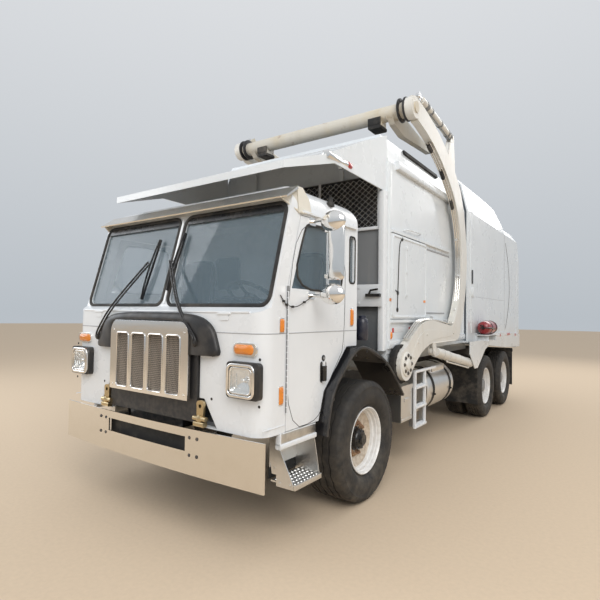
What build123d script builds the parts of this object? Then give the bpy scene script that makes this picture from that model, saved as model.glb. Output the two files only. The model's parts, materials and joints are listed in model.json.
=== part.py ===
from build123d import *
import math
import os

os.makedirs("parts", exist_ok=True)

# Front-loading refuse truck, in millimetres. X is across the truck with +X on
# the driver's side, Y runs rearwards and Z is up from the ground. A station is
# a distance behind the bumper's face.

# Overall sizes
OVERALL_LENGTH = 8640
BODY_HALF_WIDTH = 1220
CAB_HALF_WIDTH = BODY_HALF_WIDTH - 55
HOPPER_HALF_WIDTH = BODY_HALF_WIDTH - 60
ACROSS = (-2500, 2500)

# Clearances
PANEL_GAP = 6
PIN_GAP = 1
MOVING_GAP = 10

# Wheels
FRONT_AXLE_STATION = 1536
REAR_AXLE_STATIONS = (OVERALL_LENGTH - 2660, OVERALL_LENGTH - 1310)
FRONT_TYRE_RADIUS = 545
FRONT_TYRE_WIDTH = 425
FRONT_TYRE_CENTRE = BODY_HALF_WIDTH - 192
REAR_TYRE_RADIUS = 515
REAR_TYRE_WIDTH = 279
REAR_TYRE_CENTRES = (BODY_HALF_WIDTH - 477, BODY_HALF_WIDTH - 140)
RIM_RADIUS = 286
RIM_FLANGE_RADIUS = RIM_RADIUS + 16
RIM_GAUGE = 12
BEAD_INSET = 50
SPINDLE_RADIUS = 45
KINGPIN_X = FRONT_TYRE_CENTRE - 148
KINGPIN_RADIUS = 25

# Frame
RAIL_OUTER = 430
RAIL_DEPTH = 85
RAIL_BOTTOM = 770
RAIL_TOP = 1040
RAIL_GAUGE = 12
RAIL_FRONT = 150
RAIL_REAR = OVERALL_LENGTH - 290

# Cab
CAB_WALL = 40
CAB_FRONT = 80
CAB_BACK = 1390
CAB_SILL = 850
CAB_ARCH = 1420
CAB_BELT = 1745
CAB_TOP = 2690
GLASS_THICKNESS = 8
PILLAR_BASE = (170, 1745)
PILLAR_TOP = (385, 2540)
HEADER = 2500
DOOR_FRONT = 345
DOOR_REAR = 1175
DOOR_TOP = 2440
TUNNEL_HALF_WIDTH = 480
TUNNEL_TOP = 1560
TUNNEL_WALL = 30

# Arms
ARM_PIVOT = (2250, 1190)
ARM_INNER = HOPPER_HALF_WIDTH + 45
ARM_OUTER = ARM_INNER + 90
TORQUE_TUBE_RADIUS = 110
ARM_HUB_RADIUS = 170
FORK_PIVOT = (2450, 3970)
FORK_TUBE_RADIUS = 85
FORK_STUB_RADIUS = 60
ARM_TIP_RADIUS = 120
LIFT_EYE = (3100, 1275)
LIFT_ANCHOR = (4750, 1000)
LIFT_PLANE = ARM_INNER + 57
LIFT_BARREL_RADIUS = 60
LIFT_ROD_RADIUS = 36
FORK_CRANK = (2604, 4154)
FORK_ANCHOR = (3750, 4050)
FORK_BARREL_RADIUS = 42
FORK_ROD_RADIUS = 24

# Hopper and body
HOPPER_FRONT = 2050
HOPPER_REAR = LIFT_ANCHOR[0]
HOPPER_WALL = 20
SIDE_BOTTOM = 1300
SHOULDER = 3290
HOPPER_TOP = 3590
HOPPER_TOP_HALF = HOPPER_HALF_WIDTH - 100
BODY_ROOF = 3850
BODY_REAR = OVERALL_LENGTH - 1400
BODY_WALL = 25
TAILGATE_REAR = OVERALL_LENGTH
TAILGATE_TOP = 3440
TAILGATE_HINGE = (BODY_REAR + 10, TAILGATE_TOP + 60)
HINGE_PIN_RADIUS = 20
FLOOR_TOP = 1340

SIDES = (("left", 1), ("right", -1))


def sy(station):
    """Y of a station."""
    return station - OVERALL_LENGTH / 2


def span(a, b):
    """Two bounds in rising order."""
    return (min(a, b), max(a, b))


def block(x, s, z, mode=Mode.ADD):
    """Box between pairs of X bounds, stations and heights."""
    x, s, z = span(*x), span(*s), span(*z)
    middle = ((x[0] + x[1]) / 2, sy((s[0] + s[1]) / 2), (z[0] + z[1]) / 2)
    with Locations(middle):
        Box(x[1] - x[0], s[1] - s[0], z[1] - z[0], mode=mode)


def side_plate(points, x, mode=Mode.ADD):
    """Outline of (station, height) points, thick between two X bounds."""
    low, high = span(*x)
    with BuildSketch(Plane.YZ.offset(low)) as outline:
        with BuildLine():
            Polyline(*[(sy(s), z) for s, z in points], close=True)
        make_face()
    extrude(outline.sketch, amount=high - low, mode=mode)


def front_plate(points, s, mode=Mode.ADD):
    """Outline of (X, height) points, thick between two stations."""
    low, high = span(*s)
    with BuildSketch(Plane.XZ.offset(-sy(low))) as outline:
        with BuildLine():
            Polyline(*points, close=True)
        make_face()
    extrude(outline.sketch, amount=low - high, mode=mode)


def plan_plate(points, z, mode=Mode.ADD):
    """Outline of (X, station) points, thick between two heights."""
    low, high = span(*z)
    with BuildSketch(Plane.XY.offset(low)) as outline:
        with BuildLine():
            Polyline(*[(x, sy(s)) for x, s in points], close=True)
        make_face()
    extrude(outline.sketch, amount=high - low, mode=mode)


def bar_x(station, z, radius, x, mode=Mode.ADD):
    """Round bar across the truck between two X bounds."""
    low, high = span(*x)
    with BuildSketch(Plane.YZ.offset(low)) as outline:
        with Locations((sy(station), z)):
            Circle(radius)
    extrude(outline.sketch, amount=high - low, mode=mode)


def bar_y(x, z, radius, s, mode=Mode.ADD):
    """Round bar along the truck between two stations."""
    low, high = span(*s)
    with BuildSketch(Plane.XZ.offset(-sy(low))) as outline:
        with Locations((x, z)):
            Circle(radius)
    extrude(outline.sketch, amount=low - high, mode=mode)


def bar_z(x, station, radius, z, mode=Mode.ADD):
    """Upright round bar between two heights."""
    low, high = span(*z)
    with BuildSketch(Plane.XY.offset(low)) as outline:
        with Locations((x, sy(station))):
            Circle(radius)
    extrude(outline.sketch, amount=high - low, mode=mode)


def bar_between(start, end, radius, x, mode=Mode.ADD):
    """Round bar in the plane X between two (station, height) points."""
    first = Vector(x, sy(start[0]), start[1])
    last = Vector(x, sy(end[0]), end[1])
    with BuildSketch(Plane(origin=first, z_dir=last - first)) as outline:
        Circle(radius)
    extrude(outline.sketch, amount=(last - first).length, mode=mode)


def turned(points, x, station, z, sign=1, mode=Mode.ADD):
    """Solid of revolution about X from (outward distance, radius) points."""
    centre = (x, sy(station), z)
    with BuildSketch(Plane(origin=centre, x_dir=(1, 0, 0), z_dir=(0, 0, 1))) as outline:
        with BuildLine():
            Polyline(*[(sign * a, r) for a, r in points], close=True)
        make_face()
    revolve(outline.sketch, axis=Axis(centre, (1, 0, 0)), mode=mode)


def along(start, end, distance):
    """Point at a distance from start towards end."""
    run = math.dist(start, end)
    return tuple(a + (b - a) * distance / run for a, b in zip(start, end))


def finish(piece, name):
    """Label a finished piece and write it."""
    piece.part.label = name
    export_step(piece.part, f"parts/{name}.step")


# Frame rails with crossmembers
CROSSMEMBERS = (400, 2350, 3800, 5300, sum(REAR_AXLE_STATIONS) / 2, RAIL_REAR - 150)

with BuildPart() as frame_rails:
    for sign in (1, -1):
        block((sign * (RAIL_OUTER - RAIL_GAUGE), sign * RAIL_OUTER), (RAIL_FRONT, RAIL_REAR),
              (RAIL_BOTTOM, RAIL_TOP))
        for z in (RAIL_BOTTOM, RAIL_TOP - RAIL_GAUGE):
            block((sign * (RAIL_OUTER - RAIL_DEPTH), sign * RAIL_OUTER), (RAIL_FRONT, RAIL_REAR),
                  (z, z + RAIL_GAUGE))
    for station in CROSSMEMBERS:
        half = RAIL_OUTER - RAIL_GAUGE
        block((-half, half), (station - 55, station + 55), (RAIL_BOTTOM + 50, RAIL_TOP - 50))
    block((-RAIL_OUTER, RAIL_OUTER), (RAIL_REAR, RAIL_REAR + 20), (RAIL_BOTTOM - 160, RAIL_TOP))
finish(frame_rails, "frame_rails")

# Front axle: dropped beam with spring packs under the rails
AXLE_EYE_RADIUS = 50
AXLE_EYE = (FRONT_TYRE_RADIUS - 65, FRONT_TYRE_RADIUS + 65)
SPRING_HALF_LENGTH = 640

with BuildPart() as front_axle:
    s = FRONT_AXLE_STATION
    block((-KINGPIN_X, KINGPIN_X), (s - 45, s + 45), (FRONT_TYRE_RADIUS - 55, FRONT_TYRE_RADIUS + 45))
    for sign in (1, -1):
        bar_z(sign * KINGPIN_X, s, AXLE_EYE_RADIUS, AXLE_EYE)
        inner = sign * (RAIL_OUTER - RAIL_DEPTH)
        block((inner, sign * RAIL_OUTER), (s - 60, s + 60),
              (FRONT_TYRE_RADIUS + 40, FRONT_TYRE_RADIUS + 90))
        side_plate(
            [(s - SPRING_HALF_LENGTH, RAIL_BOTTOM - 60), (s, FRONT_TYRE_RADIUS + 85),
             (s + SPRING_HALF_LENGTH, RAIL_BOTTOM - 60),
             (s + SPRING_HALF_LENGTH, RAIL_BOTTOM - 25), (s, FRONT_TYRE_RADIUS + 150),
             (s - SPRING_HALF_LENGTH, RAIL_BOTTOM - 25)],
            (inner, sign * RAIL_OUTER))
        for end in (s - SPRING_HALF_LENGTH, s + SPRING_HALF_LENGTH - 60):
            block((inner, sign * RAIL_OUTER), (end, end + 60), (RAIL_BOTTOM - 60, RAIL_BOTTOM))
    for sign in (1, -1):
        bar_z(sign * KINGPIN_X, s, KINGPIN_RADIUS + PIN_GAP, (0, 1000), mode=Mode.SUBTRACT)
finish(front_axle, "front_axle")

# Steering knuckles: a yoke round the axle's eye, a spindle and a steering arm
YOKE_TOP = AXLE_EYE[1] + MOVING_GAP
YOKE_BOTTOM = AXLE_EYE[0] - MOVING_GAP
YOKE_EAR = 45
STEERING_ARM_LENGTH = 190

for side, sign in SIDES:
    with BuildPart() as knuckle:
        s = FRONT_AXLE_STATION
        for low in (YOKE_TOP, YOKE_BOTTOM - YOKE_EAR):
            block((sign * (KINGPIN_X - 45), sign * (KINGPIN_X + 95)), (s - 45, s + 45),
                  (low, low + YOKE_EAR))
        block((sign * (KINGPIN_X + 62), sign * (KINGPIN_X + 95)), (s - 45, s + 45),
              (YOKE_BOTTOM - YOKE_EAR, YOKE_TOP + YOKE_EAR))
        bar_z(sign * KINGPIN_X, s, KINGPIN_RADIUS, (YOKE_BOTTOM - YOKE_EAR, YOKE_TOP + YOKE_EAR))
        bar_x(s, FRONT_TYRE_RADIUS, SPINDLE_RADIUS, (sign * (KINGPIN_X + 62),
                                                     sign * (FRONT_TYRE_CENTRE + 150)))
        block((sign * (KINGPIN_X - 30), sign * (KINGPIN_X + 30)), (s, s + STEERING_ARM_LENGTH),
              (YOKE_BOTTOM - YOKE_EAR, YOKE_BOTTOM))
    finish(knuckle, f"{side}_knuckle")

# Tie rod between the steering arms, as long as the kingpins stand apart
TIE_ROD_TOP = YOKE_BOTTOM - YOKE_EAR - PIN_GAP

with BuildPart() as tie_rod:
    s = FRONT_AXLE_STATION + STEERING_ARM_LENGTH - 30
    bar_x(s, TIE_ROD_TOP - 22, 18, (-KINGPIN_X, KINGPIN_X))
    for sign in (1, -1):
        bar_z(sign * KINGPIN_X, s, 28, (TIE_ROD_TOP - 44, TIE_ROD_TOP))
finish(tie_rod, "tie_rod")


def tyre_outline(width, radius):
    """Tyre section as (outward distance, radius) points, from bead to bead."""
    half = width / 2
    bead = half - BEAD_INSET
    inner = RIM_RADIUS + PIN_GAP
    wall = radius - inner
    right = [(bead, inner), (bead, RIM_FLANGE_RADIUS + 4), (half - 8, inner + wall * 0.23),
             (half, inner + wall * 0.46),
             (half - 10, radius - wall * 0.23), (half - 28, radius - 12), (half - 60, radius)]
    return right + [(-a, r) for a, r in reversed(right)]


def rim_outline(width, disc_at, hub_end):
    """Rim, disc and hub section as (outward distance, radius) points."""
    half = width / 2 - BEAD_INSET + PIN_GAP
    wall = RIM_GAUGE
    bore = SPINDLE_RADIUS + PIN_GAP
    return [(-half, RIM_RADIUS), (half, RIM_RADIUS), (half, RIM_FLANGE_RADIUS),
            (half + 14, RIM_FLANGE_RADIUS),
            (half + 14, RIM_RADIUS - wall), (disc_at + 14, RIM_RADIUS - wall - 20), (disc_at + 14, 150),
            (hub_end, 110),
            (hub_end, bore), (disc_at - 60, bore), (disc_at - 60, 150), (disc_at, 150),
            (disc_at, RIM_RADIUS - wall - 20),
            (-half - 14, RIM_RADIUS - wall), (-half - 14, RIM_FLANGE_RADIUS), (-half, RIM_FLANGE_RADIUS)]


# Front wheels: one wide tyre and a dished rim on each side
FRONT_DISC_AT = 20
FRONT_HUB_END = 150

for side, sign in SIDES:
    with BuildPart() as tyre:
        turned(tyre_outline(FRONT_TYRE_WIDTH, FRONT_TYRE_RADIUS), sign * FRONT_TYRE_CENTRE,
               FRONT_AXLE_STATION, FRONT_TYRE_RADIUS, sign)
    finish(tyre, f"{side}_front_tyre")
    with BuildPart() as rim:
        turned(rim_outline(FRONT_TYRE_WIDTH, FRONT_DISC_AT, FRONT_HUB_END), sign * FRONT_TYRE_CENTRE,
               FRONT_AXLE_STATION, FRONT_TYRE_RADIUS, sign)
    finish(rim, f"{side}_front_rim")

# Rear wheels: twin tyres on two rims that share a hub
REAR_DISC_FROM_MIDDLE = 20
REAR_HUB_END = 120

for side, sign in SIDES:
    for axle, station in zip(("drive", "tag"), REAR_AXLE_STATIONS):
        middle = sum(REAR_TYRE_CENTRES) / 2
        with BuildPart() as tyres:
            for centre in REAR_TYRE_CENTRES:
                turned(tyre_outline(REAR_TYRE_WIDTH, REAR_TYRE_RADIUS), sign * centre, station,
                       REAR_TYRE_RADIUS, sign)
        finish(tyres, f"{side}_{axle}_tyres")
        with BuildPart() as rims:
            offset_in = middle - REAR_TYRE_CENTRES[0]
            turned(rim_outline(REAR_TYRE_WIDTH, REAR_DISC_FROM_MIDDLE - offset_in, REAR_HUB_END),
                   sign * REAR_TYRE_CENTRES[1], station, REAR_TYRE_RADIUS, sign)
            turned(rim_outline(REAR_TYRE_WIDTH, REAR_DISC_FROM_MIDDLE - offset_in, REAR_HUB_END - 100),
                   sign * REAR_TYRE_CENTRES[0], station, REAR_TYRE_RADIUS, -sign)
            block((sign * (middle - 40), sign * (middle + 40)), (station - 100, station + 100),
                  (REAR_TYRE_RADIUS - 100, REAR_TYRE_RADIUS + 100))
            bar_x(station, REAR_TYRE_RADIUS, SPINDLE_RADIUS + PIN_GAP,
                  (sign * 600, sign * (REAR_TYRE_CENTRES[1] + 220)), mode=Mode.SUBTRACT)
        finish(rims, f"{side}_{axle}_rims")

# Tandem axles with their equaliser beams and trunnion
with BuildPart() as tandem_axles:
    for station in REAR_AXLE_STATIONS:
        bar_x(station, REAR_TYRE_RADIUS, 70, (-560, 560))
        bar_x(station, REAR_TYRE_RADIUS, SPINDLE_RADIUS, (-REAR_TYRE_CENTRES[1], REAR_TYRE_CENTRES[1]))
        bar_x(station, REAR_TYRE_RADIUS, 190, (-130, 130))
        bar_y(0, REAR_TYRE_RADIUS, 70, (station - 300, station))
    middle = sum(REAR_AXLE_STATIONS) / 2
    for sign in (1, -1):
        inner, outer = sign * (RAIL_OUTER - RAIL_DEPTH), sign * RAIL_OUTER
        block((inner, outer), (REAR_AXLE_STATIONS[0] - 120, REAR_AXLE_STATIONS[1] + 120),
              (REAR_TYRE_RADIUS + 40, REAR_TYRE_RADIUS + 130))
        side_plate([(middle - 90, REAR_TYRE_RADIUS + 100), (middle + 90, REAR_TYRE_RADIUS + 100),
                    (middle + 170, RAIL_BOTTOM), (middle - 170, RAIL_BOTTOM)], (inner, outer))
finish(tandem_axles, "tandem_axles")

# Engine, one plain block between the rails, and the radiator in front of it
with BuildPart() as engine_block:
    block((-290, 290), (500, 1650), (680, 1350))
    bar_between((1640, 745), (REAR_AXLE_STATIONS[0] - 305, REAR_TYRE_RADIUS + 15), 45, 0)
finish(engine_block, "engine_block")

RADIATOR_HALF_WIDTH = 550
RADIATOR_TOP = 1620

with BuildPart() as radiator:
    block((-RADIATOR_HALF_WIDTH, RADIATOR_HALF_WIDTH), (60, CAB_FRONT + CAB_WALL - 5),
          (880, RADIATOR_TOP))
    block((-RAIL_OUTER + RAIL_DEPTH + 10, RAIL_OUTER - RAIL_DEPTH - 10), (CAB_FRONT + CAB_WALL - 5, 330),
          (780, 1280))
finish(radiator, "radiator")

# Front bumper: a bowed plate with a slot
BUMPER_HALF_WIDTH = BODY_HALF_WIDTH
BUMPER_SWEEP = 45
BUMPER_Z = (508, 841)
BUMPER_GAUGE = 12

with BuildPart() as front_bumper:
    with BuildSketch(Plane.XY.offset(BUMPER_Z[0])) as outline:
        with BuildLine():
            ThreePointArc((-BUMPER_HALF_WIDTH, sy(BUMPER_SWEEP)), (0, sy(0)),
                          (BUMPER_HALF_WIDTH, sy(BUMPER_SWEEP)))
            Line((BUMPER_HALF_WIDTH, sy(BUMPER_SWEEP)),
                 (BUMPER_HALF_WIDTH, sy(BUMPER_SWEEP + BUMPER_GAUGE)))
            ThreePointArc((BUMPER_HALF_WIDTH, sy(BUMPER_SWEEP + BUMPER_GAUGE)), (0, sy(BUMPER_GAUGE)),
                          (-BUMPER_HALF_WIDTH, sy(BUMPER_SWEEP + BUMPER_GAUGE)))
            Line((-BUMPER_HALF_WIDTH, sy(BUMPER_SWEEP + BUMPER_GAUGE)),
                 (-BUMPER_HALF_WIDTH, sy(BUMPER_SWEEP)))
        make_face()
    extrude(amount=BUMPER_Z[1] - BUMPER_Z[0])
    for sign in (1, -1):
        block((sign * (RAIL_OUTER - RAIL_DEPTH), sign * RAIL_OUTER), (BUMPER_GAUGE, RAIL_FRONT),
              (680, 830))
    block((-490, 490), (-50, 60), (673, 780), mode=Mode.SUBTRACT)
finish(front_bumper, "front_bumper")

# Cab: a hollow shell, parted into front, roof, back and side panels
SHELL_SIDE = [(CAB_FRONT, CAB_SILL), (CAB_FRONT, 1700), PILLAR_BASE, PILLAR_TOP, (430, 2630),
              (520, CAB_TOP), (CAB_BACK - 140, CAB_TOP),
              (CAB_BACK - 40, 2640), (CAB_BACK, 2560), (CAB_BACK, CAB_ARCH), (1210, CAB_ARCH),
              (850, 1080), (775, CAB_SILL)]
CORNER = 120
ROOF_RADIUS = 190
DRIP_RAIL = 25


def cab_hull(inset):
    """Cab outline as a solid, inset all round by a wall."""
    half = CAB_HALF_WIDTH - inset
    with BuildPart(mode=Mode.PRIVATE) as hull:
        inner = [(CAB_FRONT + inset, 0), (CAB_FRONT + inset, 1700 - inset / 2),
                 (PILLAR_BASE[0] + inset, PILLAR_BASE[1] - inset / 3),
                 (PILLAR_TOP[0] + inset, PILLAR_TOP[1]), (430 + inset, 2630 - inset / 2),
                 (520 + inset / 2, CAB_TOP - inset),
                 (CAB_BACK - 140 - inset / 2, CAB_TOP - inset),
                 (CAB_BACK - 40 - inset, 2640 - inset / 2), (CAB_BACK - inset, 2560),
                 (CAB_BACK - inset, 0)]
        side_plate(SHELL_SIDE if inset == 0 else inner, (-half, half))
        with BuildSketch(Plane.XY) as plan:
            with Locations((0, sy(0) + (CAB_FRONT + inset) + 1000)):
                RectangleRounded(2 * half, 2000, CORNER - inset)
        extrude(plan.sketch, amount=3000, mode=Mode.INTERSECT)
        with BuildSketch(Plane.XZ.offset(-sy(0))) as front:
            with Locations((0, (CAB_TOP - inset) / 2)):
                RectangleRounded(2 * half, CAB_TOP - inset, ROOF_RADIUS - inset)
        extrude(front.sketch, amount=-2000, mode=Mode.INTERSECT)
    return hull.part


def pillar_at(z):
    """Station of the windshield plane at a height."""
    share = (z - PILLAR_BASE[1]) / (PILLAR_TOP[1] - PILLAR_BASE[1])
    return PILLAR_BASE[0] + share * (PILLAR_TOP[0] - PILLAR_BASE[0])


CAB_OUTER = cab_hull(0)
CAB_INNER = cab_hull(CAB_WALL)
FRONT_DEPTH = 70
FRONT_LINE = [(0, 0), (PILLAR_BASE[0] + FRONT_DEPTH, 0), (pillar_at(CAB_BELT) + FRONT_DEPTH, CAB_BELT),
              (pillar_at(HEADER) + FRONT_DEPTH - 10, HEADER), (0, HEADER)]
DOOR_OUTLINE = [(DOOR_FRONT, CAB_SILL + 5), (DOOR_FRONT, 1870), (DOOR_FRONT + 155, DOOR_TOP),
                (DOOR_REAR, DOOR_TOP),
                (DOOR_REAR, CAB_ARCH - 30), (880, CAB_SILL + 5)]
DOOR_WINDOW = [(DOOR_FRONT + 50, 1885), (DOOR_FRONT + 205, 2345), (DOOR_FRONT + 255, 2395),
               (DOOR_REAR - 90, 2395),
               (DOOR_REAR - 50, 2355), (DOOR_REAR - 50, 1960), (DOOR_REAR - 115, 1885)]
QUARTER_WINDOW = [(1255, 1985), (1255, 2380), (1335, 2380), (1335, 1985)]
WINDSHIELD = (45, CAB_HALF_WIDTH - 45)
WINDSHIELD_Z = (1765, 2510)
WINDSHIELD_CORNER = 70
DRIP_RAIL_Z = (2460, 2478)
BACK_WINDOW = (230, 620)
BACK_WINDOW_Z = (1950, 2300)
GRILLE_OPENING = RADIATOR_HALF_WIDTH + 8
OUTSIDE = (CAB_HALF_WIDTH - 165, CAB_HALF_WIDTH + 235)
DOOR_HINGE = (CAB_HALF_WIDTH + 9, DOOR_FRONT - 3)
HINGE_Z = (CAB_SILL + 130, 1860)


def inflate(points, gap):
    """Outline of points pushed away from its middle by a gap."""
    middle = [sum(p[i] for p in points) / len(points) for i in (0, 1)]
    return [tuple(c + gap * (1 if c > m else -1) for c, m in zip(p, middle)) for p in points]


def rounded_window(x, z, s, radius, mode):
    """Window block with rounded corners, cut along the truck."""
    low, high = span(*s)
    x, z = span(*x), span(*z)
    with BuildSketch(Plane.XZ.offset(-sy(low))) as outline:
        with Locations(((x[0] + x[1]) / 2, (z[0] + z[1]) / 2)):
            RectangleRounded(x[1] - x[0], z[1] - z[0], radius)
    extrude(outline.sketch, amount=low - high, mode=mode)


with BuildPart() as cab_front:
    add(CAB_OUTER)
    add(CAB_INNER, mode=Mode.SUBTRACT)
    side_plate(FRONT_LINE, ACROSS, mode=Mode.INTERSECT)
    for sign in (1, -1):
        rounded_window((sign * WINDSHIELD[0], sign * WINDSHIELD[1]), WINDSHIELD_Z, (0, 600),
                       WINDSHIELD_CORNER, Mode.SUBTRACT)
        front_plate([(sign * 500, 1062), (sign * 610, 1062), (sign * 745, CAB_SILL + 10),
                     (sign * 500, CAB_SILL + 10)], (0, 300), mode=Mode.SUBTRACT)
    block((-GRILLE_OPENING, GRILLE_OPENING), (0, 170), (0, RADIATOR_TOP + 8), mode=Mode.SUBTRACT)
finish(cab_front, "cab_front")

with BuildPart() as cab_roof:
    add(CAB_OUTER)
    add(CAB_INNER, mode=Mode.SUBTRACT)
    block(ACROSS, (0, CAB_BACK + 10), (HEADER, 3000), mode=Mode.INTERSECT)
    for sign in (1, -1):
        rounded_window((sign * WINDSHIELD[0], sign * WINDSHIELD[1]), WINDSHIELD_Z, (0, 600),
                       WINDSHIELD_CORNER, Mode.SUBTRACT)
finish(cab_roof, "cab_roof")

with BuildPart() as cab_back_wall:
    add(CAB_OUTER)
    add(CAB_INNER, mode=Mode.SUBTRACT)
    block(ACROSS, (CAB_BACK - CAB_WALL, CAB_BACK + 10), (CAB_ARCH, HEADER), mode=Mode.INTERSECT)
    for sign in (1, -1):
        rounded_window((sign * BACK_WINDOW[0], sign * BACK_WINDOW[1]), BACK_WINDOW_Z, (1000, 1400), 60,
                       Mode.SUBTRACT)
finish(cab_back_wall, "cab_back_wall")

with BuildPart() as cab_side_walls:
    add(CAB_OUTER)
    add(CAB_INNER, mode=Mode.SUBTRACT)
    side_plate(FRONT_LINE, ACROSS, mode=Mode.SUBTRACT)
    block(ACROSS, (0, CAB_BACK - CAB_WALL), (0, HEADER), mode=Mode.INTERSECT)
    block((-OUTSIDE[0], OUTSIDE[0]), (0, CAB_BACK), (0, HEADER), mode=Mode.SUBTRACT)
    for sign in (1, -1):
        side_plate(inflate(DOOR_OUTLINE, PANEL_GAP), (sign * OUTSIDE[0], sign * OUTSIDE[1]),
                   mode=Mode.SUBTRACT)
        side_plate(QUARTER_WINDOW, (sign * OUTSIDE[0], sign * OUTSIDE[1]), mode=Mode.SUBTRACT)
        block((sign * OUTSIDE[0], sign * OUTSIDE[1]), (PILLAR_BASE[0] + FRONT_DEPTH, 760), (0, CAB_SILL),
              mode=Mode.SUBTRACT)
        block((sign * (CAB_HALF_WIDTH - 10), sign * (CAB_HALF_WIDTH + DRIP_RAIL)),
              (505, CAB_BACK - CAB_WALL), DRIP_RAIL_Z)
finish(cab_side_walls, "cab_side_walls")

for side, sign in SIDES:
    with BuildPart() as door:
        add(CAB_OUTER)
        add(CAB_INNER, mode=Mode.SUBTRACT)
        side_plate(DOOR_OUTLINE, (sign * OUTSIDE[0], sign * OUTSIDE[1]), mode=Mode.INTERSECT)
        side_plate(DOOR_WINDOW, (sign * OUTSIDE[0], sign * OUTSIDE[1]), mode=Mode.SUBTRACT)
        block((sign * (CAB_HALF_WIDTH - 5), sign * (CAB_HALF_WIDTH + 16)), (815, 845), (1150, 1320))
        block((sign * (CAB_HALF_WIDTH - 5), sign * (CAB_HALF_WIDTH + 5)), (DOOR_FRONT, DOOR_FRONT + 12),
              HINGE_Z)
        bar_z(sign * DOOR_HINGE[0], DOOR_HINGE[1], 8, HINGE_Z)
    finish(door, f"{side}_door")
    with BuildPart() as door_glass:
        glass_x = CAB_HALF_WIDTH - CAB_WALL / 2
        side_plate(DOOR_WINDOW, (sign * (glass_x - GLASS_THICKNESS), sign * glass_x))
    finish(door_glass, f"{side}_door_glass")

with BuildPart() as windshield_opening:
    for sign in (1, -1):
        rounded_window((sign * WINDSHIELD[0], sign * WINDSHIELD[1]), WINDSHIELD_Z, (0, 600),
                       WINDSHIELD_CORNER, Mode.ADD)

with BuildPart() as cab_glass:
    glass_x = CAB_HALF_WIDTH - CAB_WALL / 2
    slab = [(pillar_at(z) + d, z) for z, d in ((1700, 12), (1700, 12 + GLASS_THICKNESS),
                                               (2560, 12 + GLASS_THICKNESS), (2560, 12))]
    side_plate(slab, ACROSS)
    add(windshield_opening.part, mode=Mode.INTERSECT)
    back = (CAB_BACK - CAB_WALL / 2, CAB_BACK - CAB_WALL / 2 + GLASS_THICKNESS)
    for sign in (1, -1):
        side_plate(QUARTER_WINDOW, (sign * (glass_x - GLASS_THICKNESS), sign * glass_x))
        rounded_window((sign * BACK_WINDOW[0], sign * BACK_WINDOW[1]), BACK_WINDOW_Z, back, 60, Mode.ADD)
finish(cab_glass, "cab_glass")

# Cab floor: low footwell, raised rear part and the tunnel over the engine
FLOOR_GAUGE = 40
floor_half = CAB_HALF_WIDTH - CAB_WALL
footwell = (CAB_FRONT + CAB_WALL, 735)

with BuildPart() as cab_floor:
    floor_line = [(footwell[0], CAB_SILL), (footwell[1], CAB_SILL), (1008, CAB_ARCH),
                  (CAB_BACK - CAB_WALL, CAB_ARCH),
                  (CAB_BACK - CAB_WALL, CAB_ARCH + FLOOR_GAUGE), (985, CAB_ARCH + FLOOR_GAUGE),
                  (712, CAB_SILL + FLOOR_GAUGE), (footwell[0], CAB_SILL + FLOOR_GAUGE)]
    side_plate(floor_line, (-floor_half, floor_half))
    block((-RADIATOR_HALF_WIDTH - 20, RADIATOR_HALF_WIDTH + 20), (footwell[0] - 5, footwell[0] + 10),
          (0, CAB_ARCH), mode=Mode.SUBTRACT)
    block((-TUNNEL_HALF_WIDTH, TUNNEL_HALF_WIDTH), (footwell[0] + 10, CAB_BACK - CAB_WALL),
          (CAB_SILL, TUNNEL_TOP))
    inner = TUNNEL_HALF_WIDTH - TUNNEL_WALL
    block((-inner, inner), (0, CAB_BACK), (0, TUNNEL_TOP - TUNNEL_WALL), mode=Mode.SUBTRACT)
    add(CAB_INNER, mode=Mode.INTERSECT)
finish(cab_floor, "cab_floor")

# Dashboard across the nose, with the steering column and wheel on the left
DASH_LINE = [(130, 1640), (130, 1690), (235, 1735), (430, 1680), (450, 1560), (340, 1440), (200, 1440)]
WHEEL_HUB = (500, 1830)
WHEEL_FOOT = (405, 1680)
WHEEL_RADIUS = 215
DRIVER_X = 690

with BuildPart() as dashboard:
    side_plate(DASH_LINE, (-CAB_HALF_WIDTH + 85, CAB_HALF_WIDTH - 85))
    block((-TUNNEL_HALF_WIDTH, TUNNEL_HALF_WIDTH), (160, 440), (TUNNEL_TOP, TUNNEL_TOP + 60))
    for sign in (1, -1):
        block((sign * OUTSIDE[0], sign * (CAB_HALF_WIDTH - 85)), (180, 240),
              (CAB_SILL + FLOOR_GAUGE, 1500))
    block((-TUNNEL_HALF_WIDTH, TUNNEL_HALF_WIDTH), (0, CAB_BACK), (0, TUNNEL_TOP), mode=Mode.SUBTRACT)
    add(CAB_INNER, mode=Mode.INTERSECT)
finish(dashboard, "dashboard")

with BuildPart() as steering_wheel:
    hub = Vector(DRIVER_X, sy(WHEEL_HUB[0]), WHEEL_HUB[1])
    foot = Vector(DRIVER_X, sy(WHEEL_FOOT[0]), WHEEL_FOOT[1])
    wheel_plane = Plane(origin=hub, x_dir=(1, 0, 0), z_dir=hub - foot)
    with BuildSketch(wheel_plane) as ring:
        Circle(WHEEL_RADIUS)
        Circle(WHEEL_RADIUS - 28, mode=Mode.SUBTRACT)
        for turn in (0, 120, 240):
            with PolarLocations((WHEEL_RADIUS - 20) / 2, 1, turn + 90):
                Rectangle(WHEEL_RADIUS - 20, 40)
        Circle(60)
    extrude(ring.sketch, amount=14, both=True)
    bar_between(WHEEL_FOOT, WHEEL_HUB, 35, DRIVER_X)
    add(dashboard.part, mode=Mode.SUBTRACT)
finish(steering_wheel, "steering_wheel")

# Two seats on the raised floor
SEAT_HALF = 245

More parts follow.
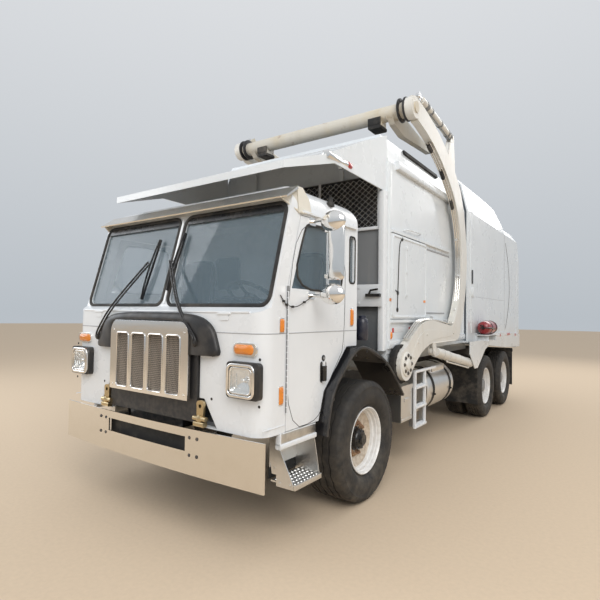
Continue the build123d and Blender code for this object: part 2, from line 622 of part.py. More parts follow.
with BuildPart() as seats:
    for sign in (1, -1):
        x = (sign * (DRIVER_X - SEAT_HALF + 40), sign * (DRIVER_X + SEAT_HALF))
        block(x, (730, 1215), (1560, 1660))
        side_plate([(1090, 1660), (1150, 2270), (1235, 2270), (1235, 1660), (1215, 1600)], x)
        block((sign * (DRIVER_X - 150), sign * (DRIVER_X + 150)), (1000, 1200),
              (CAB_ARCH + FLOOR_GAUGE, 1560))
finish(seats, "seats")

# Sun visor over the windshield
VISOR_HALF = CAB_HALF_WIDTH + 15
VISOR_EDGE = [(300, 2550), (306, 2540), (440, 2624), (440, 2650)]

with BuildPart() as sun_visor:
    side_plate(VISOR_EDGE, (-VISOR_HALF, VISOR_HALF))
    add(CAB_OUTER, mode=Mode.SUBTRACT)
finish(sun_visor, "sun_visor")

# Grille with four openings backed by mesh, and its moulded surround
GRILLE_TOP = (435, 1629)
GRILLE_LOW = (500, 1042)
GRILLE_S = (8, 48)
MESH_S = (26, 34)
GRILLE_BAYS = (-0.75, -0.25, 0.25, 0.75)
BAY_HALF_SHARE = 0.17

with BuildPart() as grille:
    front_plate([(-GRILLE_LOW[0], GRILLE_LOW[1]), (GRILLE_LOW[0], GRILLE_LOW[1]), GRILLE_TOP,
                 (-GRILLE_TOP[0], GRILLE_TOP[1])], GRILLE_S)
    low_z, top_z = GRILLE_LOW[1] + 60, GRILLE_TOP[1] - 130
    for bay in GRILLE_BAYS:
        low_x = bay * (GRILLE_LOW[0] - 50)
        top_x = bay * (GRILLE_TOP[0] - 40)
        half = BAY_HALF_SHARE * GRILLE_TOP[0]
        bay_outline = [(low_x - half, low_z), (low_x + half, low_z), (top_x + half, top_z),
                       (top_x - half, top_z)]
        front_plate(bay_outline, (GRILLE_S[0], MESH_S[0]), mode=Mode.SUBTRACT)
        front_plate(bay_outline, (MESH_S[1], GRILLE_S[1]), mode=Mode.SUBTRACT)
finish(grille, "grille")

SURROUND_OUTER = [(-700, 1340), (-700, 1430), (-555, 1668), (555, 1668), (700, 1430), (700, 1340)]

with BuildPart() as grille_surround:
    front_plate(SURROUND_OUTER, (25, CAB_FRONT))
    front_plate([(-GRILLE_LOW[0] - 2, 1200), (-GRILLE_TOP[0] - 6, GRILLE_TOP[1] + 3),
                 (GRILLE_TOP[0] + 6, GRILLE_TOP[1] + 3), (GRILLE_LOW[0] + 2, 1200)],
                (0, 60), mode=Mode.SUBTRACT)
    block((-RADIATOR_HALF_WIDTH - 1, RADIATOR_HALF_WIDTH + 1), (58, 100), (0, RADIATOR_TOP + 1),
          mode=Mode.SUBTRACT)
finish(grille_surround, "grille_surround")

# Headlamps and amber lamps
HEADLAMP_X = (CAB_HALF_WIDTH - 352, CAB_HALF_WIDTH - 30)
HEADLAMP_Z = (1095, 1355)
AMBER_SIDE_LAMPS = ((262, 300, 1567, 1662), (262, 300, 1056, 1180), (1270, 1315, 1600, 1750))

with BuildPart() as headlamps:
    for sign in (1, -1):
        rounded_window((sign * HEADLAMP_X[0], sign * HEADLAMP_X[1]), HEADLAMP_Z, (12, CAB_FRONT), 50,
                       Mode.ADD)
    add(CAB_OUTER, mode=Mode.SUBTRACT)
finish(headlamps, "headlamps")

with BuildPart() as amber_lamps:
    for sign in (1, -1):
        block((sign * (CAB_HALF_WIDTH - 275), sign * (CAB_HALF_WIDTH - 105)), (45, CAB_FRONT),
              (1405, 1475))
        for front, back, low, high in AMBER_SIDE_LAMPS:
            block((sign * CAB_HALF_WIDTH, sign * (CAB_HALF_WIDTH + 18)), (front, back), (low, high))
    for x in (-600, -300, 0, 300, 600):
        bar_z(x, 760, 45, (CAB_TOP, CAB_TOP + 50))
finish(amber_lamps, "amber_lamps")

# Door mirrors on a looped bracket
MIRROR_X = (CAB_HALF_WIDTH + 165, CAB_HALF_WIDTH + 315)
MIRROR_BAR_X = sum(MIRROR_X) / 2
MIRROR_S = (595, 635)
MIRROR_Z = (1945, 2375)
MIRROR_ROUNDS = (2390, 1857)
MIRROR_ROUND_RADIUS = 90
MIRROR_ARMS = (2425, 1833)

for side, sign in SIDES:
    with BuildPart() as mirror:
        block((sign * MIRROR_X[0], sign * MIRROR_X[1]), MIRROR_S, MIRROR_Z)
        for z in MIRROR_ROUNDS:
            bar_y(sign * MIRROR_BAR_X, z, MIRROR_ROUND_RADIUS, MIRROR_S)
        for z in MIRROR_ARMS:
            block((sign * CAB_HALF_WIDTH, sign * (MIRROR_BAR_X + 15)), (MIRROR_S[1], MIRROR_S[1] + 25),
                  (z - 12, z + 12))
        bar_z(sign * MIRROR_BAR_X, MIRROR_S[1] + 12, 14, (MIRROR_ARMS[1] - 12, MIRROR_ARMS[0] + 12))
        block((sign * (MIRROR_BAR_X - 14), sign * (MIRROR_BAR_X + 14)),
              (MIRROR_S[1] - 10, MIRROR_S[1] + 20), (2030, 2290))
    finish(mirror, f"{side}_mirror")

# Cab steps: two treads between side plates under each door
STEP_S = (285, 728)
STEP_X = (BODY_HALF_WIDTH - 290, BODY_HALF_WIDTH + 5)

with BuildPart() as cab_steps:
    for sign in (1, -1):
        for end in (STEP_S[0], STEP_S[1] - 12):
            side_plate([(end, 430), (end + 12, 430), (end + 12, CAB_SILL), (end, CAB_SILL)],
                       (sign * STEP_X[0], sign * (CAB_HALF_WIDTH - 20)))
        block((sign * STEP_X[0], sign * STEP_X[1]), STEP_S, (430, 450))
        block((sign * STEP_X[0], sign * (STEP_X[1] - 50)), STEP_S, (640, 660))
        block((sign * RAIL_OUTER, sign * (STEP_X[0] + 12)), (STEP_S[0] + 150, STEP_S[0] + 230),
              (780, CAB_SILL))
        block((sign * STEP_X[0], sign * (STEP_X[0] + 12)), STEP_S, (430, CAB_SILL))
finish(cab_steps, "cab_steps")

# Front fenders: folded sheet over the steered wheels
FENDER_LINE = [(782, 740), (800, 845), (872, 1082), (1262, 1405), (1440, 1405), (1900, 1235), (2285, 865)]
FENDER_INNER = [(2272, 855), (1890, 1222), (1436, 1391), (1267, 1391), (884, 1074), (814, 842),
                (796, 740)]
FENDER_X = (FRONT_TYRE_CENTRE - 168, FRONT_TYRE_CENTRE + 214)

with BuildPart() as front_fenders:
    for sign in (1, -1):
        side_plate(FENDER_LINE + FENDER_INNER, (sign * FENDER_X[0], sign * FENDER_X[1]))
        block((sign * RAIL_OUTER, sign * (RAIL_OUTER + 40)), (1690, 1750), (RAIL_TOP - 80, 1300))
        block((sign * RAIL_OUTER, sign * (FENDER_X[0] + 20)), (1690, 1750), (1260, 1300))
finish(front_fenders, "front_fenders")

# Fuel tank, step box and ladder on the frame's sides
TANK_X = BODY_HALF_WIDTH - 360
TANK_Z = 760
TANK_RADIUS = 300
TANK_S = (3300, 4250)
LADDER_X = (BODY_HALF_WIDTH - 70, BODY_HALF_WIDTH - 25)
STEP_BOX_S = (2340, 2640)
LADDER_S = (2690, 2990)

with BuildPart() as fuel_tanks:
    for sign in (1, -1):
        bar_y(sign * TANK_X, TANK_Z, TANK_RADIUS, TANK_S)
        for station in (TANK_S[0] + 180, TANK_S[1] - 260):
            block((sign * RAIL_OUTER, sign * (TANK_X - 200)), (station, station + 80),
                  (TANK_Z + 20, TANK_Z + 180))
finish(fuel_tanks, "fuel_tanks")

with BuildPart() as step_boxes:
    for sign in (1, -1):
        block((sign * 800, sign * LADDER_X[1]), STEP_BOX_S, (550, 930))
        block((sign * RAIL_OUTER, sign * 800), (STEP_BOX_S[0] + 60, STEP_BOX_S[0] + 140), (800, 900))
        for station in LADDER_S:
            block((sign * LADDER_X[0], sign * LADDER_X[1]), (station - 20, station + 20), (450, 1040))
        for z in (450, 660, 880):
            block((sign * LADDER_X[0], sign * LADDER_X[1]), LADDER_S, (z, z + 30))
        block((sign * LADDER_X[0], sign * (LADDER_X[1] - 5)), (STEP_BOX_S[1], LADDER_S[0]), (880, 910))
finish(step_boxes, "step_boxes")

# Screen and hydraulic tank behind the cab
SCREEN_S = (HOPPER_FRONT - 50, HOPPER_FRONT - 30)
SCREEN_HALF = HOPPER_HALF_WIDTH - 60
SCREEN_Z = (1330, 3150)

with BuildPart() as screen_and_tank:
    block((-SCREEN_HALF, SCREEN_HALF), SCREEN_S, SCREEN_Z)
    block((-SCREEN_HALF, -SCREEN_HALF + 700), (1500, SCREEN_S[0]), (1430, 2450))
    block((-SCREEN_HALF, SCREEN_HALF), (SCREEN_S[0] - 70, SCREEN_S[0]), (1780, 2010))
    block((-RAIL_OUTER, RAIL_OUTER), (SCREEN_S[0] - 60, SCREEN_S[1]), (RAIL_TOP, SCREEN_Z[0]))
    block((-SCREEN_HALF, SCREEN_HALF), (SCREEN_S[1], HOPPER_FRONT), (1400, 1440))
finish(screen_and_tank, "screen_and_tank")

# Hopper: open-topped box with a side door opening and the arms' bearings
HOPPER_SECTION = [(-HOPPER_HALF_WIDTH, SIDE_BOTTOM), (HOPPER_HALF_WIDTH, SIDE_BOTTOM),
                  (HOPPER_HALF_WIDTH, SHOULDER), (HOPPER_TOP_HALF, HOPPER_TOP),
                  (-HOPPER_TOP_HALF, HOPPER_TOP), (-HOPPER_HALF_WIDTH, SHOULDER)]
HOPPER_ROOM_HALF = HOPPER_HALF_WIDTH - HOPPER_WALL
HOPPER_MOUTH_HALF = HOPPER_TOP_HALF - HOPPER_WALL - 9
HOPPER_INSIDE = [(-HOPPER_ROOM_HALF, FLOOR_TOP), (HOPPER_ROOM_HALF, FLOOR_TOP),
                 (HOPPER_ROOM_HALF, SHOULDER - 5),
                 (HOPPER_MOUTH_HALF, HOPPER_TOP + 40), (-HOPPER_MOUTH_HALF, HOPPER_TOP + 40),
                 (-HOPPER_ROOM_HALF, SHOULDER - 5)]
SIDE_DOOR = (2110, 3090, 1660, 2550)
SIDE_DOOR_TRAVEL = 900
BEARING_PLATE = [(HOPPER_FRONT, SIDE_BOTTOM), (HOPPER_FRONT, ARM_PIVOT[1] - 10),
                 (ARM_PIVOT[0] - 60, ARM_PIVOT[1] - 180),
                 (ARM_PIVOT[0] + 60, ARM_PIVOT[1] - 180), (ARM_PIVOT[0] + 250, ARM_PIVOT[1] - 10),
                 (ARM_PIVOT[0] + 250, SIDE_BOTTOM)]
BEARING_X = (HOPPER_HALF_WIDTH - 70, HOPPER_HALF_WIDTH - 10)
LIFT_PLATE_X = (LIFT_PLANE + 66, LIFT_PLANE + 78)
LIFT_BRACKET = [(LIFT_ANCHOR[0] + s, LIFT_ANCHOR[1] + z) for s, z in
                ((-300, 330), (810, 330), (810, 240), (550, 180), (100, -70), (-50, -70), (-300, 160))]
LIFT_BRACKET_FOOT = (LIFT_ANCHOR[0] + 550, LIFT_ANCHOR[0] + 810)

with BuildPart() as hopper:
    front_plate(HOPPER_SECTION, (HOPPER_FRONT, HOPPER_REAR))
    front_plate(HOPPER_INSIDE, (HOPPER_FRONT + 40, HOPPER_REAR + 10), mode=Mode.SUBTRACT)
    block((HOPPER_HALF_WIDTH - 60, HOPPER_HALF_WIDTH + 60), (SIDE_DOOR[0] + 70, SIDE_DOOR[1] - 70),
          (SIDE_DOOR[2] + 70, SIDE_DOOR[3] - 70), mode=Mode.SUBTRACT)
    block((-RAIL_OUTER - 60, RAIL_OUTER + 60), (HOPPER_FRONT + 400, HOPPER_REAR), (RAIL_TOP, SIDE_BOTTOM))
    for sign in (1, -1):
        side_plate(BEARING_PLATE, (sign * BEARING_X[0], sign * BEARING_X[1]))
    bar_x(*ARM_PIVOT, TORQUE_TUBE_RADIUS + PIN_GAP, ACROSS, mode=Mode.SUBTRACT)
    for z in (SIDE_DOOR[2] - 40, SIDE_DOOR[3] + 10):
        block((HOPPER_HALF_WIDTH, HOPPER_HALF_WIDTH + 30),
              (SIDE_DOOR[0], SIDE_DOOR[1] + SIDE_DOOR_TRAVEL), (z, z + 30))
finish(hopper, "hopper")

with BuildPart() as hopper_side_door:
    block((HOPPER_HALF_WIDTH + 6, HOPPER_HALF_WIDTH + 24), SIDE_DOOR[:2], SIDE_DOOR[2:])
finish(hopper_side_door, "hopper_side_door")

# Canopy over the cab, a hood open underneath that narrows towards its lip
CANOPY_TIP = 400
CANOPY_WIDEST = 1020
CANOPY_TOP = [(CANOPY_TIP, 2855), (890, 3030), (1280, 3215), (1560, 3350), (HOPPER_FRONT, 3560)]
CANOPY_LOW = [(HOPPER_FRONT, 2970), (CANOPY_WIDEST, 2985), (CANOPY_TIP, 2795)]
CANOPY_HALF = HOPPER_HALF_WIDTH - 20
CANOPY_TIP_HALF = CANOPY_HALF - 70
SHEET = 12
CANOPY_STRUTS = (-645, 600)


def canopy_hull(outline, tip, half, tip_half):
    """Side outline narrowed in plan towards the tip."""
    plan_edge = [(tip, tip_half), (CANOPY_WIDEST, half), (HOPPER_FRONT + 20, half)]
    with BuildPart(mode=Mode.PRIVATE) as hull:
        side_plate(outline, (-half, half))
        with BuildSketch(Plane.XY.offset(2500)) as plan:
            with BuildLine():
                Polyline(*[(x, sy(s)) for s, x in plan_edge],
                         *[(-x, sy(s)) for s, x in reversed(plan_edge)], close=True)
            make_face()
        extrude(plan.sketch, amount=1500, mode=Mode.INTERSECT)
    return hull.part


with BuildPart() as canopy:
    room_tip = CANOPY_TIP + SHEET
    room_line = [(room_tip, CANOPY_TOP[0][1] - SHEET)] + [(s, z - SHEET) for s, z in CANOPY_TOP[1:-1]]
    room_line += [(HOPPER_FRONT + 10, CANOPY_TOP[-1][1] - SHEET), (HOPPER_FRONT + 10, 2600),
                  (room_tip, 2600)]
    add(canopy_hull(CANOPY_TOP + CANOPY_LOW, CANOPY_TIP, CANOPY_HALF, CANOPY_TIP_HALF))
    add(canopy_hull(room_line, room_tip, CANOPY_HALF - SHEET, CANOPY_TIP_HALF - SHEET),
        mode=Mode.SUBTRACT)
    for x in CANOPY_STRUTS:
        block((x, x + 45), (SCREEN_S[0], SCREEN_S[1]), (SCREEN_Z[1], 3530))
finish(canopy, "canopy")

# Packer blade, which slides back along the hopper floor
BLADE_BOTTOM = FLOOR_TOP + MOVING_GAP
BLADE_TOP = 2250
BLADE_LINE = [(2110, BLADE_BOTTOM), (2700, BLADE_BOTTOM), (2700, BLADE_TOP - 100), (2640, BLADE_TOP),
              (2110, BLADE_TOP)]
BLADE_ROOM = [(2100, BLADE_BOTTOM + 30), (2670, BLADE_BOTTOM + 30), (2670, BLADE_TOP - 110),
              (2625, BLADE_TOP - 30),
              (2100, BLADE_TOP - 30)]

with BuildPart() as packer_blade:
    half = HOPPER_HALF_WIDTH - HOPPER_WALL - MOVING_GAP
    side_plate(BLADE_LINE, (-half, half))
    side_plate(BLADE_ROOM, (-half + HOPPER_WALL, half - HOPPER_WALL), mode=Mode.SUBTRACT)
finish(packer_blade, "packer_blade")

# Body shell behind the hopper, with side posts, platforms and lift brackets
BODY_SIDE_HALF = [(BODY_HALF_WIDTH, SIDE_BOTTOM), (BODY_HALF_WIDTH, SHOULDER),
                  (BODY_HALF_WIDTH - 100, BODY_ROOF - 160),
                  (BODY_HALF_WIDTH - 240, BODY_ROOF)]
SLOPE_FRONT = BODY_REAR - 740
SLOPE_END = TAILGATE_TOP - 20
SLOPE_REAR = BODY_REAR + 100
ROOF_SLOPE = [(SLOPE_FRONT, BODY_ROOF + 400), (SLOPE_FRONT, BODY_ROOF), (BODY_REAR, SLOPE_END),
              (SLOPE_REAR, SLOPE_END),
              (SLOPE_REAR, BODY_ROOF + 400)]
HINGE_EAR = [(TAILGATE_HINGE[0] + s, TAILGATE_HINGE[1] + z) for s, z in
             ((-190, 15), (-45, -65), (22, -22), (22, 22), (-20, 22))]


def shrink(points, wall):
    """Section of points moved inwards by a wall."""
    low = min(z for x, z in points)
    high = max(z for x, z in points)
    return [(x - math.copysign(wall, x),
             z + wall if z == low else z - wall if z == high else z - wall / 3) for x, z in points]


def mirrored(half):
    """Whole section from its +X half, listed from the bottom up."""
    return half + [(-x, z) for x, z in reversed(half)]


BODY_SECTION = mirrored(BODY_SIDE_HALF)

with BuildPart() as body_room:
    front_plate(shrink(BODY_SECTION, BODY_WALL), (HOPPER_REAR - 10, BODY_REAR + 10))
    side_plate([(s, z - BODY_WALL) for s, z in ROOF_SLOPE], ACROSS, mode=Mode.SUBTRACT)

with BuildPart() as body_shell:
    front_plate(BODY_SECTION, (HOPPER_REAR, BODY_REAR))
    side_plate(ROOF_SLOPE, ACROSS, mode=Mode.SUBTRACT)
    add(body_room.part, mode=Mode.SUBTRACT)
    block((-RAIL_OUTER - 60, RAIL_OUTER + 60), (HOPPER_REAR, BODY_REAR), (RAIL_TOP, SIDE_BOTTOM))
    for sign in (1, -1):
        side_plate(LIFT_BRACKET, (sign * LIFT_PLATE_X[0], sign * LIFT_PLATE_X[1]))
        block((sign * (BODY_HALF_WIDTH - 60), sign * LIFT_PLATE_X[0]), LIFT_BRACKET_FOOT,
              (LIFT_ANCHOR[1] + 240, LIFT_ANCHOR[1] + 330))
        block((sign * (BODY_HALF_WIDTH - 5), sign * (BODY_HALF_WIDTH + 30)),
              (LIFT_BRACKET_FOOT[1] + 40, BODY_REAR), (SIDE_BOTTOM, SIDE_BOTTOM + 100))
        bar_x(*TAILGATE_HINGE, HINGE_PIN_RADIUS, (sign * 860, sign * 980))
        for x in (860, 940):
            side_plate(HINGE_EAR, (sign * x, sign * (x + 30)))
finish(body_shell, "body_shell")

# Tailgate, hinged at its top edge
TAIL_BOTTOM = 1050
TAIL_FRONT = BODY_REAR + MOVING_GAP
TAIL_SECTION = mirrored([(BODY_HALF_WIDTH, TAIL_BOTTOM), (BODY_HALF_WIDTH, SHOULDER),
                         (BODY_HALF_WIDTH - 100, TAILGATE_TOP)])
TAIL_LINE = [(TAIL_FRONT, SIDE_BOTTOM), (TAIL_FRONT, TAILGATE_TOP), (TAILGATE_REAR - 300, TAILGATE_TOP),
             (TAILGATE_REAR - 60, TAILGATE_TOP - 290), (TAILGATE_REAR, TAILGATE_TOP - 540),
             (TAILGATE_REAR, TAIL_BOTTOM),
             (TAILGATE_REAR - 260, TAIL_BOTTOM), (TAILGATE_REAR - 260, SIDE_BOTTOM)]
TAIL_ROOM_SECTION = mirrored([(BODY_HALF_WIDTH - BODY_WALL, FLOOR_TOP),
                              (BODY_HALF_WIDTH - BODY_WALL, SHOULDER - 20),
                              (BODY_HALF_WIDTH - 130, TAILGATE_TOP - BODY_WALL)])
TAIL_ROOM_REAR = TAILGATE_REAR - 80
TAIL_ROOM_CORNER = [(TAILGATE_REAR - 340, TAILGATE_TOP + 60), (TAILGATE_REAR - 100, TAILGATE_TOP - 340),
                    (TAILGATE_REAR + 60, TAILGATE_TOP - 340), (TAILGATE_REAR + 60, TAILGATE_TOP + 60)]
TAIL_LUG = [(TAIL_FRONT + 20, TAILGATE_TOP - 5), (TAIL_FRONT + 160, TAILGATE_TOP - 5),
            (TAILGATE_HINGE[0] + 40, TAILGATE_HINGE[1] + 30),
            (TAILGATE_HINGE[0] - 20, TAILGATE_HINGE[1] + 30),
            (TAILGATE_HINGE[0] - 20, TAILGATE_HINGE[1] - 30)]

with BuildPart() as tailgate_room:
    front_plate(TAIL_ROOM_SECTION, (TAIL_FRONT - 10, TAIL_ROOM_REAR))
    side_plate(TAIL_ROOM_CORNER, ACROSS, mode=Mode.SUBTRACT)

with BuildPart() as tailgate:
    front_plate(TAIL_SECTION, (TAIL_FRONT, TAILGATE_REAR))
    side_plate(TAIL_LINE, ACROSS, mode=Mode.INTERSECT)
    add(tailgate_room.part, mode=Mode.SUBTRACT)
    for sign in (1, -1):
        side_plate(TAIL_LUG, (sign * 900, sign * 930))
    bar_x(*TAILGATE_HINGE, HINGE_PIN_RADIUS + PIN_GAP, (-1000, 1000), mode=Mode.SUBTRACT)
finish(tailgate, "tailgate")

# Tail lamps and mud flaps
with BuildPart() as tail_lamps:
    for sign in (1, -1):
        for z in (752, 868):
            bar_y(sign * 700, z, 50, (RAIL_REAR + 20, RAIL_REAR + 60))
        block((sign * RAIL_OUTER, sign * 800), (RAIL_REAR, RAIL_REAR + 20), (680, 940))
finish(tail_lamps, "tail_lamps")

FLAP_STATIONS = (REAR_AXLE_STATIONS[0] - 650, REAR_AXLE_STATIONS[1] + 680)
FLAP_EDGE = BODY_HALF_WIDTH - 5

with BuildPart() as mud_flaps:
    for sign in (1, -1):
        for station in FLAP_STATIONS:
            block((sign * 600, sign * FLAP_EDGE), (station, station + 12), (300, 1050))
            block((sign * RAIL_OUTER, sign * FLAP_EDGE), (station + 12, station + 62), (975, 1035))
finish(mud_flaps, "mud_flaps")

# Arms: two cranked booms on a torque tube
EYE_RADIUS = 48
EYE_HALF = 18
EAR_GAUGE = 10
EAR_GAP = 5
NECK = 85
PIN_RADIUS = 22


def arm_outline():
    """Closed outline of the boom, gooseneck first, in (station, height)."""
    def p(s, z):
        return (sy(s), z)

    Line(p(2225, 1358), p(2500, 1525))
    ThreePointArc(p(2500, 1525), p(2820, 1632), p(3150, 1632))
    Line(p(3150, 1632), p(3790, 1560))
    ThreePointArc(p(3790, 1560), p(4165, 2330), p(3830, 3270))
    ThreePointArc(p(3830, 3270), p(3280, 3625), p(2520, 3850))
    Line(p(2520, 3850), p(2520, 4080))
    ThreePointArc(p(2520, 4080), p(3400, 3850), p(4100, 3430))
    ThreePointArc(p(4100, 3430), p(4410, 2500), p(4150, 1560))
    ThreePointArc(p(4150, 1560), p(4080, 1430), p(3920, 1375))
    Line(p(3920, 1375), p(3000, 1375))
    ThreePointArc(p(3000, 1375), p(2740, 1310), p(2400, 1110))
    Line(p(2400, 1110), p(2225, 1358))


with BuildPart() as arms:
    for sign in (1, -1):
        start = min(sign * ARM_INNER, sign * ARM_OUTER)
        with BuildSketch(Plane.YZ.offset(start)) as outline:
            with BuildLine():
                arm_outline()
            make_face()
            with Locations((sy(ARM_PIVOT[0]), ARM_PIVOT[1])):
                Circle(ARM_HUB_RADIUS)
            with Locations((sy(FORK_PIVOT[0]), FORK_PIVOT[1])):
                Circle(ARM_TIP_RADIUS)
        extrude(outline.sketch, amount=ARM_OUTER - ARM_INNER)
        for ear in (LIFT_PLANE - EYE_HALF - EAR_GAP - EAR_GAUGE, LIFT_PLANE + EYE_HALF + EAR_GAP):
            ear_x = (sign * ear, sign * (ear + EAR_GAUGE))
            s, z = LIFT_EYE
            side_plate([(s - 70, 1400), (s + 50, 1400), (s + 45, z - 25), (s, z - 50), (s - 45, z - 25)],
                       ear_x)
            s, z = FORK_ANCHOR
            side_plate([(s - 190, z - 290), (s + 110, z - 490), (s + 45, z - 20), (s + 20, z + 40),
                        (s - 30, z + 35)], ear_x)
        pin_ends = (sign * (LIFT_PLANE - EYE_HALF - 20), sign * (LIFT_PLANE + EYE_HALF + 20))
        bar_x(*LIFT_EYE, PIN_RADIUS, pin_ends)
        bar_x(*FORK_ANCHOR, PIN_RADIUS, pin_ends)
    bar_x(*ARM_PIVOT, TORQUE_TUBE_RADIUS, (-ARM_INNER, ARM_INNER))
    bar_x(*FORK_PIVOT, FORK_STUB_RADIUS + PIN_GAP, ACROSS, mode=Mode.SUBTRACT)
finish(arms, "arms")

# Forks: a cross tube with tapered tines, pads and crank plates
FORK_X = (980, 1050)
CRANK_X = (ARM_INNER - 33, ARM_INNER - 10)

with BuildPart() as forks:
    s, z = FORK_PIVOT
    bar_x(s, z, FORK_TUBE_RADIUS, (-CRANK_X[1], CRANK_X[1]))
    bar_x(s, z, FORK_STUB_RADIUS, (-ARM_OUTER - 15, ARM_OUTER + 15))
    for sign in (1, -1):
        side_plate([(s - 60, z + 60), (s, z + 85), (s + 300, z + 30), (s + 1150, z - 90),
                    (s + 1150, z - 130), (s + 250, z - 190), (s, z - 130), (s - 80, z - 30)],
                   (sign * FORK_X[0], sign * FORK_X[1]))
        block((sign * 760, sign * 900), (s - 70, s + 90), (z - 150, z - 40))
        side_plate([(s - 90, z), (s, z - 90), (s + 90, z), (FORK_CRANK[0] + 40, FORK_CRANK[1] - 10),
                    (FORK_CRANK[0] + 10, FORK_CRANK[1] + 42), (FORK_CRANK[0] - 38, FORK_CRANK[1] + 15)],
                   (sign * CRANK_X[0], sign * CRANK_X[1]))
finish(forks, "forks")


def cylinder_barrel(eye, far, radius, length, bore):
    """Closed barrel along the line from its eye, with a bore for the rod."""
    mouth = along(eye, far, length)
    for sign in (1, -1):
        bar_between(along(eye, far, NECK), mouth, radius, sign * LIFT_PLANE)
        bar_between(along(eye, far, EYE_RADIUS - 10), along(eye, far, NECK + 10), EYE_HALF,
                    sign * LIFT_PLANE)
        bar_x(*eye, EYE_RADIUS, (sign * (LIFT_PLANE - EYE_HALF), sign * (LIFT_PLANE + EYE_HALF)))
        bar_between(along(eye, far, NECK + 40), along(eye, far, length + 10), bore, sign * LIFT_PLANE,
                    mode=Mode.SUBTRACT)
        bar_x(*eye, PIN_RADIUS + PIN_GAP, (sign * (LIFT_PLANE - 40), sign * (LIFT_PLANE + 40)),
              mode=Mode.SUBTRACT)


def cylinder_rod(eye, far, radius, start, pin):
    """Rod from inside its barrel to the pinned eye at its far end."""
    for sign in (1, -1):
        bar_between(along(eye, far, start), far, radius, sign * LIFT_PLANE)
        bar_x(*far, EYE_RADIUS, (sign * (LIFT_PLANE - EYE_HALF), sign * (LIFT_PLANE + EYE_HALF)))
        bar_x(*far, PIN_RADIUS, (sign * pin[0], sign * pin[1]))


LIFT_PIN = (LIFT_PLANE - EYE_HALF - 12, LIFT_PLATE_X[0] - 5)
FORK_PIN = (CRANK_X[1] + 5, LIFT_PLANE + EYE_HALF + 8)
CYLINDERS = (
    ("lift", LIFT_EYE, LIFT_ANCHOR, LIFT_BARREL_RADIUS, LIFT_ROD_RADIUS, LIFT_PIN),
    ("fork", FORK_ANCHOR, FORK_CRANK, FORK_BARREL_RADIUS, FORK_ROD_RADIUS, FORK_PIN),
)

for name, eye, far, barrel_radius, rod_radius, pin in CYLINDERS:
    reach = math.dist(eye, far)
    with BuildPart() as barrels:
        cylinder_barrel(eye, far, barrel_radius, reach - 90, rod_radius + PIN_GAP)
    finish(barrels, f"{name}_cylinder_barrels")
    with BuildPart() as rods:
        cylinder_rod(eye, far, rod_radius, NECK + 50, pin)
    finish(rods, f"{name}_cylinder_rods")
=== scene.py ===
"""Looks of a front-loading garbage truck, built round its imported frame."""

import json
import logging
import math
from dataclasses import dataclass
from enum import Enum
from typing import Iterable, Sequence

import bmesh
import bpy
import numpy as np
from mathutils import Matrix, Vector
from mathutils.geometry import tessellate_polygon


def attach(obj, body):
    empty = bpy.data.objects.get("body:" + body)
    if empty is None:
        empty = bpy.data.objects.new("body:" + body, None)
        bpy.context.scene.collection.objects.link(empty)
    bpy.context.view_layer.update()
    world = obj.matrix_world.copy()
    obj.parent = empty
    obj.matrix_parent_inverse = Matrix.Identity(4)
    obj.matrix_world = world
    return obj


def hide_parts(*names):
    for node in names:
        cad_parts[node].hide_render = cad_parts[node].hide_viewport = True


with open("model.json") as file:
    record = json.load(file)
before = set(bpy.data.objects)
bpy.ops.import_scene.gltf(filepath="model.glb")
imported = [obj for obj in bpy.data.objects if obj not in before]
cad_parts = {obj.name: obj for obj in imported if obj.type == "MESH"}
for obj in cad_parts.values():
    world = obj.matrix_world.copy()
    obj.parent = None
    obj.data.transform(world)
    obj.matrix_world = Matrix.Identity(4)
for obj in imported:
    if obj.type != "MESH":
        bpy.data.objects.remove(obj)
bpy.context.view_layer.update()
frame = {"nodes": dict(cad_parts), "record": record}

LOG = logging.getLogger("truck")
HALF_LENGTH = 4.32
SIDES = (("left", 1.0), ("right", -1.0))

Point = Sequence[float]
Colour = tuple[float, float, float]

FRONTWAYS = ((1, 0, 0), (0, 0, 1))
SIDEWAYS = ((0, 1, 0), (0, 0, 1))


class Axis(Enum):
    """The axis that a solid is turned about."""

    X = "x"
    Y = "y"
    Z = "z"


def at(x: float, station: float, z: float) -> np.ndarray:
    """Returns the point at X, a station behind the bumper's face, and Z."""
    return np.array((x, station - HALF_LENGTH, z))


def unit(vector: np.ndarray) -> np.ndarray:
    """Returns vectors scaled to length one along their last axis."""
    return vector / np.maximum(np.linalg.norm(vector, axis=-1, keepdims=True), 1e-12)


def circle(radius: float, sides: int, start: float = 0.0) -> np.ndarray:
    """Returns points (radius cos t, radius sin t) with t from start round one turn."""
    turn = start + np.linspace(0.0, 2.0 * math.pi, sides, endpoint=False)
    return np.stack((radius * np.cos(turn), radius * np.sin(turn)), axis=-1)


def rounded_box(width: float, height: float, radius: float, steps: int = 5) -> np.ndarray:
    """Rectangle about the origin whose corners are quarter circles.

    Args:
        width: Size along the first axis.
        height: Size along the second axis.
        radius: Corner radius.
        steps: Points on each corner.

    Returns:
        Points in rising angle, each a corner's centre plus radius (cos t, sin t).
    """
    turn = np.linspace(0.0, math.pi / 2, steps)
    turns = (turn[None, :] + np.arange(4)[:, None] * math.pi / 2).ravel()
    signs = np.repeat(np.array(((1, 1), (-1, 1), (-1, -1), (1, -1))), steps, axis=0)
    centres = signs * np.array((width / 2 - radius, height / 2 - radius))
    return centres + radius * np.stack((np.cos(turns), np.sin(turns)), axis=-1)


def on_side(x: float, line: np.ndarray) -> np.ndarray:
    """Returns points (station, z) as points at X."""
    return np.column_stack((np.full(len(line), x), line[:, 0] - HALF_LENGTH, line[:, 1]))


